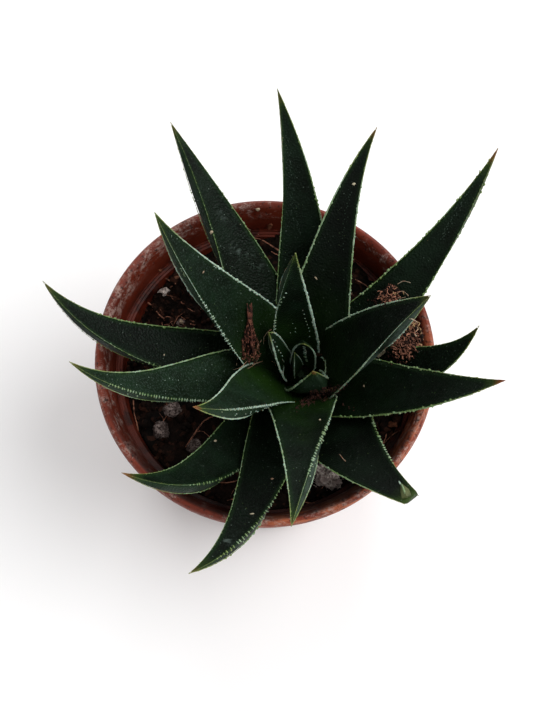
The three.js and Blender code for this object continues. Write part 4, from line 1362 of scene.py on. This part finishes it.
class HAWORTHIA_OT_leaves(bpy.types.Operator):
    """Grows the fine leaves and colours the short stem that carries them"""

    bl_idname = "haworthia.leaves"
    bl_label = "Leaves"

    def execute(self, context):
        settings = context.scene.haworthia_leaves
        flesh = leaf_finish(settings)
        horn = horn_finish(settings)
        for leaf in ALL_LEAVES:
            bm = leaf_body(leaf, max(FEWEST_STEPS, int(leaf.length / LEAF_PITCH)))
            add_margins(bm, leaf, settings)
            store_tints(bm, leaf)
            piece_from(bm, "fine_" + leaf.name, [flesh, horn], [leaf.name])
        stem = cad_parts["stem"]
        stem.data.materials.clear()
        stem.data.materials.append(flesh)
        return {"FINISHED"}


class HAWORTHIA_OT_stones(bpy.types.Operator):
    """Shapes the pumice stones that lie in the soil"""

    bl_idname = "haworthia.stones"
    bl_label = "Pumice"

    def execute(self, context):
        settings = context.scene.haworthia_pot
        dust_and_sheen = stone_finish("pumice", settings.stone_light, settings.stone_dark)
        pale = stone_finish("pale pumice", settings.stone_pale, settings.stone_light)
        hair = fibre_finish("stone hairs", settings.fibre_dark, settings.stone_pale)
        for number, stone in enumerate(STONES, 1):
            bm = bmesh.new()
            made = bmesh.ops.create_icosphere(bm, subdivisions=5, radius=0.5)
            rough = 0.4 if stone.get("hairs") else 0.2
            place = Matrix.Translation(stone["at"]) @ Matrix.Rotation(math.radians(stone["turn"]), 4, "Z")
            for vert in made["verts"]:
                spot = vert.co * 2.6 + Vector((stone["seed"], 0, 0))
                swell = noise.turbulence(spot, 5, False, amplitude_scale=0.55, frequency_scale=2.2)
                pit = noise.noise(vert.co * 16 + Vector((0, stone["seed"], 0)))
                vert.co = vert.co * (1 + rough * (swell - 0.6) + 0.05 * pit)
            bmesh.ops.scale(bm, vec=stone["size"], verts=bm.verts)
            bmesh.ops.transform(bm, matrix=place, verts=bm.verts)
            draw = random.Random(stone["seed"])
            bm.verts.ensure_lookup_table()
            roots = [draw.choice(bm.verts).co.copy() for _ in range(stone.get("hairs", 0))]
            hairs = [curl_line(root, draw, (0.5, 1.6), (0.1, 0.4)) for root in roots]
            add_strands(bm, [[(point, thick * HAIR_SHARE) for point, thick in line] for line in hairs], 1)
            name = f"pumice_{number}"
            stuff = pale if stone.get("pale") else dust_and_sheen
            piece_from(bm, "rough_" + name, [stuff, hair], [name])
        return {"FINISHED"}


class HAWORTHIA_OT_clumps(bpy.types.Operator):
    """Tangles the coir clumps and the dry stalk out of single strands and crumbs"""

    bl_idname = "haworthia.clumps"
    bl_label = "Coir clumps"

    def execute(self, context):
        settings = context.scene.haworthia_pot
        coir = fibre_finish("coir", settings.fibre_dark, settings.fibre_light)
        stalk = fibre_finish("dry stalk", settings.soil_dark_and_shade, settings.stalk)
        lit_scales = fibre_finish("lit scales", settings.stalk, settings.fibre_light)
        crevice = fibre_finish("crevice litter", settings.soil_dark_and_shade, settings.crevice)
        golden = fibre_finish("golden coir", settings.fibre_dark, settings.fibre_golden)
        crumb = soil_finish("clump crumbs", settings, 0.1)
        for number, clump in enumerate(CLUMPS, 1):
            name = f"coir_{number}"
            fibre = crevice if clump.get("dark") else stalk if clump.get("frayed") else coir
            bright = lit_scales if clump.get("frayed") else golden
            piece_from(self.tangle(clump), "curly_" + name, [fibre, crumb, bright], [name])
        return {"FINISHED"}

    def tangle(self, clump):
        """A clump's core, crumbs, strands and scales, in its place."""
        draw = random.Random(clump["seed"])
        half = Vector(clump["size"]) / 2
        turn = Matrix.Rotation(math.radians(clump.get("turn", 0)), 3, "Z")
        turn = turn @ Matrix.Rotation(math.radians(clump.get("lean", 0)), 3, "X")
        place = Matrix.Translation(clump["at"]) @ turn.to_4x4() @ Matrix.Diagonal((*half, 1))
        bm = bmesh.new()
        self.add_core(bm, clump)
        if clump.get("frayed"):
            lines = [self.splinter(half, draw) for _ in range(SPLINTERS)] + PRONGS
            scales = [self.scale(half, draw) for _ in range(SCALES)]
        else:
            fine = clump.get("fine", 1.0)
            self.add_crumbs(bm, half, draw, fine)
            count = int(CURL_DENSITY * clump.get("share", 1) * (half.x * half.y * half.z) ** 0.6 / fine)
            lines = [self.curl(half, draw, fine) for _ in range(count)]
            scales = []
        bmesh.ops.transform(bm, matrix=place, verts=bm.verts)
        lines = [[(place @ point, thick) for point, thick in line] for line in lines]
        plain = []
        lit = []
        for line in lines:
            side = (line[0][0] - place.translation).xy.dot(GOLDEN_SIDE)
            golden_one = side > draw.uniform(-1, 9) and not clump.get("frayed")
            (lit if golden_one else plain).append(line)
        add_strands(bm, plain, 0)
        add_strands(bm, lit, 2)
        for slot in range(3):
            add_beads(bm, [place @ scale for scale in scales[slot::3]], slot)
        return bm

    def girth(self, u):
        """How thick the dry stalk is, from its lower end at -1 to its tip at 1."""
        return smoothstep(-1.4, -0.8, u) * lerp(1, 0.2, smoothstep(-0.6, 0.5, u)) * smoothstep(1.15, 0.8, u)

    def add_core(self, bm, clump):
        """The dark inside, as a lump in a space where the clump's box runs from -1 to 1."""
        core = bmesh.ops.create_icosphere(bm, subdivisions=4, radius=1)
        for vert in core["verts"]:
            swell = noise.turbulence(vert.co * 2.4 + Vector((clump["seed"], 0, 0)), 4, False)
            if clump.get("frayed"):
                girth = self.girth(vert.co.y) * 0.5
                vert.co = (vert.co.x * girth, vert.co.y * 0.8, vert.co.z * girth)
            else:
                vert.co *= (0.5 + 0.45 * (swell - 0.5)) * (0.5 if clump.get("dark") else 1)
        mark_faces(core["verts"], 1)

    def add_crumbs(self, bm, half, draw, fine):
        """Peat crumbs caught in the clump, more of them on its outer side."""
        for _ in range(int(CRUMB_DENSITY * (half.x * half.y * half.z) ** 0.6 / fine)):
            spot = any_way(draw) * draw.uniform(0.35, 0.9)
            if spot.x + spot.y < draw.uniform(-1.0, 0.6):
                continue
            size = draw.uniform(0.3, 1.0) * fine
            made = bmesh.ops.create_icosphere(bm, subdivisions=1, radius=size)
            for vert in made["verts"]:
                rough = draw.uniform(0.7, 1.2)
                vert.co = Vector([c * rough / h for c, h in zip(vert.co, half)]) + spot
            mark_faces(made["verts"], 1)

    def scale(self, half, draw):
        """One dry scale of the stalk, tilted out like a shingle."""
        u = draw.uniform(-0.95, 0.75)
        angle = draw.uniform(0, 2 * math.pi)
        girth = self.girth(u) * draw.uniform(0.6, 1.15)
        out = Vector((math.cos(angle), 0, math.sin(angle)))
        along = Vector((0, 1, 0)) + out * draw.uniform(-0.1, 1.1) + Vector((draw.uniform(-0.4, 0.4), 0, 0))
        along.normalize()
        side = along.cross(out).normalized()
        shape = (draw.uniform(0.25, 0.7), draw.uniform(0.1, 0.22), draw.uniform(0.07, 0.13))
        place = Matrix.Translation((out.x * girth, u, out.z * girth))
        shrink = Matrix.Diagonal((1 / half.x, 1 / half.y, 1 / half.z, 1))
        return place @ shrink @ bead_place(Vector(), (along, side, along.cross(side)), shape)

    def splinter(self, half, draw):
        """One strand that runs along the dry stalk."""
        u = draw.uniform(-1.15, 0.55)
        angle = draw.uniform(0, 2 * math.pi)
        share = draw.uniform(0.55, 1.0)
        thick = draw.uniform(0.1, 0.2)
        line = []
        for _ in range(draw.randint(4, 7)):
            girth = self.girth(u) * share
            point = Vector((girth * math.cos(angle), u, girth * math.sin(angle)))
            line.append((point, thick * draw.uniform(0.6, 1.2)))
            u += draw.uniform(0.5, 0.9) / half.y
            angle += draw.uniform(-0.35, 0.35)
            share += draw.uniform(-0.08, 0.1)
        return line

    def curl(self, half, draw, fine):
        """One curled strand among the others in the clump."""
        centre = any_way(draw) * draw.uniform(0.45, 0.95)
        line = curl_line(Vector(), draw, (0.3, 0.85), (0.25, 0.85))
        return [
            (centre + Vector([c / h * fine for c, h in zip(point, half)]), thick * fine)
            for point, thick in line
        ]


class HAWORTHIA_OT_litter(bpy.types.Operator):
    """Drops flakes, threads, crumbs and dots where the photograph shows them, and dust on the leaves"""

    bl_idname = "haworthia.litter"
    bl_label = "Litter on the leaves"

    def execute(self, context):
        settings = context.scene.haworthia_pot
        leaf_settings = context.scene.haworthia_leaves
        draw = random.Random(LITTER_SEED)

        # All places are found before the first piece of litter is made, so that none of it lies on another.
        routes = [[self.lifted(pixel) for pixel in route] for route in THREADS]
        spots = [(seen_at(*flake["pixel"]), flake) for flake in FLAKES]
        crumb_places = [place for row in CRUMB_ROUTES for place in self.crumb_places(row, draw)]
        dots = self.dots(draw)
        corners = [(seen_at(*pixel), height) for pixel, height in FOLD]

        threads = bmesh.new()
        add_strands(threads, [curved(route, draw.uniform(0.07, 0.12), draw) for route in routes])
        pale = fibre_finish("pale threads", settings.fibre_light, settings.flake_pale)
        piece_from(threads, "stray_threads", [pale])
        piece_from(self.flakes(spots, draw), "dry_flakes", [flake_finish(settings)])
        crumbs = bmesh.new()
        add_beads(crumbs, crumb_places)
        piece_from(crumbs, "loose_crumbs", [bpy.data.materials["crevice litter"]])
        folded = piece_from(self.fold(corners), "folded_tip", [fold_finish(leaf_settings)])
        folded.data.shade_flat()
        horn = bpy.data.materials["leaf margin"]
        flesh = tubercle_finish(leaf_settings)
        piece_from(self.dust(draw), "leaf_dust", [horn])
        piece_from(dots, "leaf_tubercles", [horn, flesh])
        return {"FINISHED"}

    def dots(self, draw):
        """The rows of dots and bars, each with how pale it is."""
        bm = bmesh.new()
        mint = bm.verts.layers.float.new("mint")
        for row in BEAD_ROWS:
            first = len(bm.verts)
            add_beads(bm, self.row_places(row, draw), 1 if row.get("flesh") else 0)
            bm.verts.ensure_lookup_table()
            for vert in bm.verts[first:]:
                vert[mint] = row.get("mint", 0.9)
        return bm

    def flakes(self, spots, draw):
        """The flakes on what is seen at their pixels, each with how rusty it is."""
        bm = bmesh.new()
        rust = bm.verts.layers.float.new("rust")
        for (at, normal), flake in spots:
            self.add_flake(bm, at, normal, flake, rust, draw)
        return bm

    def fold(self, corners):
        """The folded tip, as the hull of its corners over the skin and under it."""
        bm = bmesh.new()
        for (at, normal), height in corners:
            bm.verts.new(at + normal * height)
            bm.verts.new(at - normal * FOLD_SUNK)
        bmesh.ops.convex_hull(bm, input=bm.verts)
        return bm

    def dust(self, draw):
        """Grains of dust on the faces of the grown leaves."""
        bm = bmesh.new()
        places = []
        for _ in range(DUST_GRAINS):
            leaf = draw.choice(ALL_LEAVES[:-YOUNG_LEAVES])
            t, place = draw.uniform(0.12, 0.92), draw.uniform(0.25, 3.75)
            size = draw.uniform(0.04, 0.1)
            places.append(bead_place(leaf.edge_point(t, place), Matrix.Identity(3), (size, size, size * 0.8)))
        add_beads(bm, places)
        return bm

    def row_places(self, row, draw):
        """Beads along a route over the leaves, each one turned from the route and half sunk in the skin."""
        route = [seen_at(*pixel) for pixel in row["route"]]
        places = []
        for i in range(row["count"]):
            share = (i + draw.uniform(0.3, 0.7)) / row["count"] * (len(route) - 1)
            leg = int(share)
            (a, up), (b, _) = route[leg], route[leg + 1]
            way = (b - a).normalized()
            way = Matrix.Rotation(math.radians(row.get("turn", 0)), 3, up) @ way
            at = a.lerp(b, share - leg) + up * row.get("lift", 0)
            at += (b - a).cross(up).normalized() * draw.uniform(-1, 1) * row.get("spread", 0.25)
            length, thick = [size * draw.uniform(0.7, 1.2) / 2 for size in row["size"]]
            places.append(bead_place(at, (way, up.cross(way), up), (length, thick, thick * 0.8)))
        return places

    def crumb_places(self, row, draw):
        """Loose crumbs along a route, each on the surface that is seen there."""
        route = [Vector(pixel) for pixel in row["route"]]
        places = []
        for _ in range(row["count"]):
            share = draw.uniform(0, len(route) - 1.001)
            pixel = route[int(share)].lerp(route[int(share) + 1], share % 1)
            pixel += Vector((draw.gauss(0, 1), draw.gauss(0, 1))) * row["spread"] * 2
            at, up = seen_at(*pixel)
            side = up.orthogonal().normalized()
            side = Matrix.Rotation(draw.uniform(0, math.pi), 3, up) @ side
            half = draw.uniform(*CRUMB_HALF)
            size = (half * draw.uniform(0.8, 1.7), half, half * draw.uniform(0.6, 1.0))
            places.append(bead_place(at + up * half * 0.4, (side, up.cross(side), up), size))
        return places

    def lifted(self, pixel):
        """The place of a thread over what is seen at a pixel."""
        at, normal = seen_at(*pixel)
        return at + normal * THREAD_LIFT

    def add_flake(self, bm, at, normal, flake, rust, draw):
        """One crooked flake that lies flat on the surface under it."""
        length, width, height = flake["size"]
        right = Vector((1, 0, 0))
        side = (right - normal * right.dot(normal)).normalized()
        side = Matrix.Rotation(math.radians(flake.get("turn", 0)), 3, normal) @ side
        axes = Matrix((side * length / 2, normal.cross(side) * width / 2, normal * height / 2)).transposed()
        made = bmesh.ops.create_icosphere(bm, subdivisions=3, radius=1)
        drift = Vector((draw.uniform(0, 9), 0, 0))
        for vert in made["verts"]:
            spot = vert.co + drift
            rough = 1 + 0.5 * noise.noise(spot * 1.3) + 0.25 * noise.noise(spot * 3.1)
            lift = flake.get("bend", 0.0) * vert.co.x**2
            vert[rust] = flake.get("rust", 0.0)
            vert.co = at + axes @ (vert.co * rough) + normal * (height * 0.3 + lift)


class HAWORTHIA_OT_stage(bpy.types.Operator):
    """Sets the floor, the lights and the camera at the photograph's angle"""

    bl_idname = "haworthia.stage"
    bl_label = "Stage"

    def area(self, name, at, width, power):
        """A round light that points at the plant."""
        light = bpy.data.lights.new(name, "AREA")
        light.shape = "DISK"
        light.size = width
        light.energy = power
        lamp = bpy.data.objects.new(name, light)
        lamp.location = at
        lamp.rotation_mode = "QUATERNION"
        lamp.rotation_quaternion = (Vector(LIGHT_AIM) - Vector(at)).to_track_quat("-Z", "Y")
        bpy.context.scene.collection.objects.link(lamp)

    def execute(self, context):
        settings = context.scene.haworthia_stage
        scene = context.scene
        scene.view_settings.view_transform = "Standard"
        bm = bmesh.new()
        bmesh.ops.create_grid(bm, x_segments=FLOOR_CUTS, y_segments=FLOOR_CUTS, size=FLOOR_HALF)
        mesh = bpy.data.meshes.new("floor")
        bm.to_mesh(mesh)
        bm.free()
        made = Finish("pale floor", roughness=0.8, specular=0.1)
        mottle = made.noise(6, 2)
        low = [c * 0.97 for c in settings.floor_color]
        mesh.materials.append(made.finish(made.mix(mottle, low, settings.floor_color)))
        floor = bpy.data.objects.new("floor", mesh)
        scene.collection.objects.link(floor)

        world = bpy.data.worlds.new("studio")
        world.use_nodes = True
        sky = world.node_tree.nodes["Background"]
        sky.inputs["Color"].default_value = (1, 1, 1, 1)
        sky.inputs["Strength"].default_value = settings.sky_strength
        scene.world = world
        self.area("key", KEY_PLACE, KEY_WIDTH, settings.key_power)
        self.area("back", BACK_PLACE, BACK_WIDTH, settings.rim_power)

        data = bpy.data.cameras.new("camera")
        data.angle = 2 * math.atan(PHOTO_HEIGHT / 2 / FOCAL_PIXELS)
        data.clip_start = NEAREST_SEEN
        camera = bpy.data.objects.new("camera", data)
        camera.location = CAMERA_PLACE * MM
        camera.rotation_mode = "QUATERNION"
        camera.rotation_quaternion = LOOK.to_track_quat("-Z", "Y")
        scene.collection.objects.link(camera)
        scene.camera = camera
        return {"FINISHED"}


class HAWORTHIA_PT_panel(bpy.types.Panel):
    bl_label = "Haworthia"
    bl_idname = "HAWORTHIA_PT_panel"
    bl_space_type = "VIEW_3D"
    bl_region_type = "UI"
    bl_category = "Haworthia"

    def draw(self, context):
        for operator in OPERATORS:
            self.layout.operator(operator.bl_idname)


OPERATORS = (
    HAWORTHIA_OT_pot,
    HAWORTHIA_OT_soil,
    HAWORTHIA_OT_fibres,
    HAWORTHIA_OT_leaves,
    HAWORTHIA_OT_stones,
    HAWORTHIA_OT_clumps,
    HAWORTHIA_OT_litter,
    HAWORTHIA_OT_stage,
)
GROUPS = {
    "haworthia_leaves": HAWORTHIA_PG_leaves,
    "haworthia_pot": HAWORTHIA_PG_pot,
    "haworthia_stage": HAWORTHIA_PG_stage,
}


def register():
    for name, group in GROUPS.items():
        bpy.utils.register_class(group)
        setattr(bpy.types.Scene, name, bpy.props.PointerProperty(type=group))
    for operator in OPERATORS:
        bpy.utils.register_class(operator)
    bpy.utils.register_class(HAWORTHIA_PT_panel)


def unregister():
    bpy.utils.unregister_class(HAWORTHIA_PT_panel)
    for operator in reversed(OPERATORS):
        bpy.utils.unregister_class(operator)
    for name, group in GROUPS.items():
        delattr(bpy.types.Scene, name)
        bpy.utils.unregister_class(group)


def main():
    register()
    bpy.ops.haworthia.pot()
    bpy.ops.haworthia.soil()
    bpy.ops.haworthia.fibres()
    bpy.ops.haworthia.leaves()
    bpy.ops.haworthia.stones()
    bpy.ops.haworthia.clumps()
    bpy.ops.haworthia.litter()
    bpy.ops.haworthia.stage()


if __name__ == "__main__":
    main()
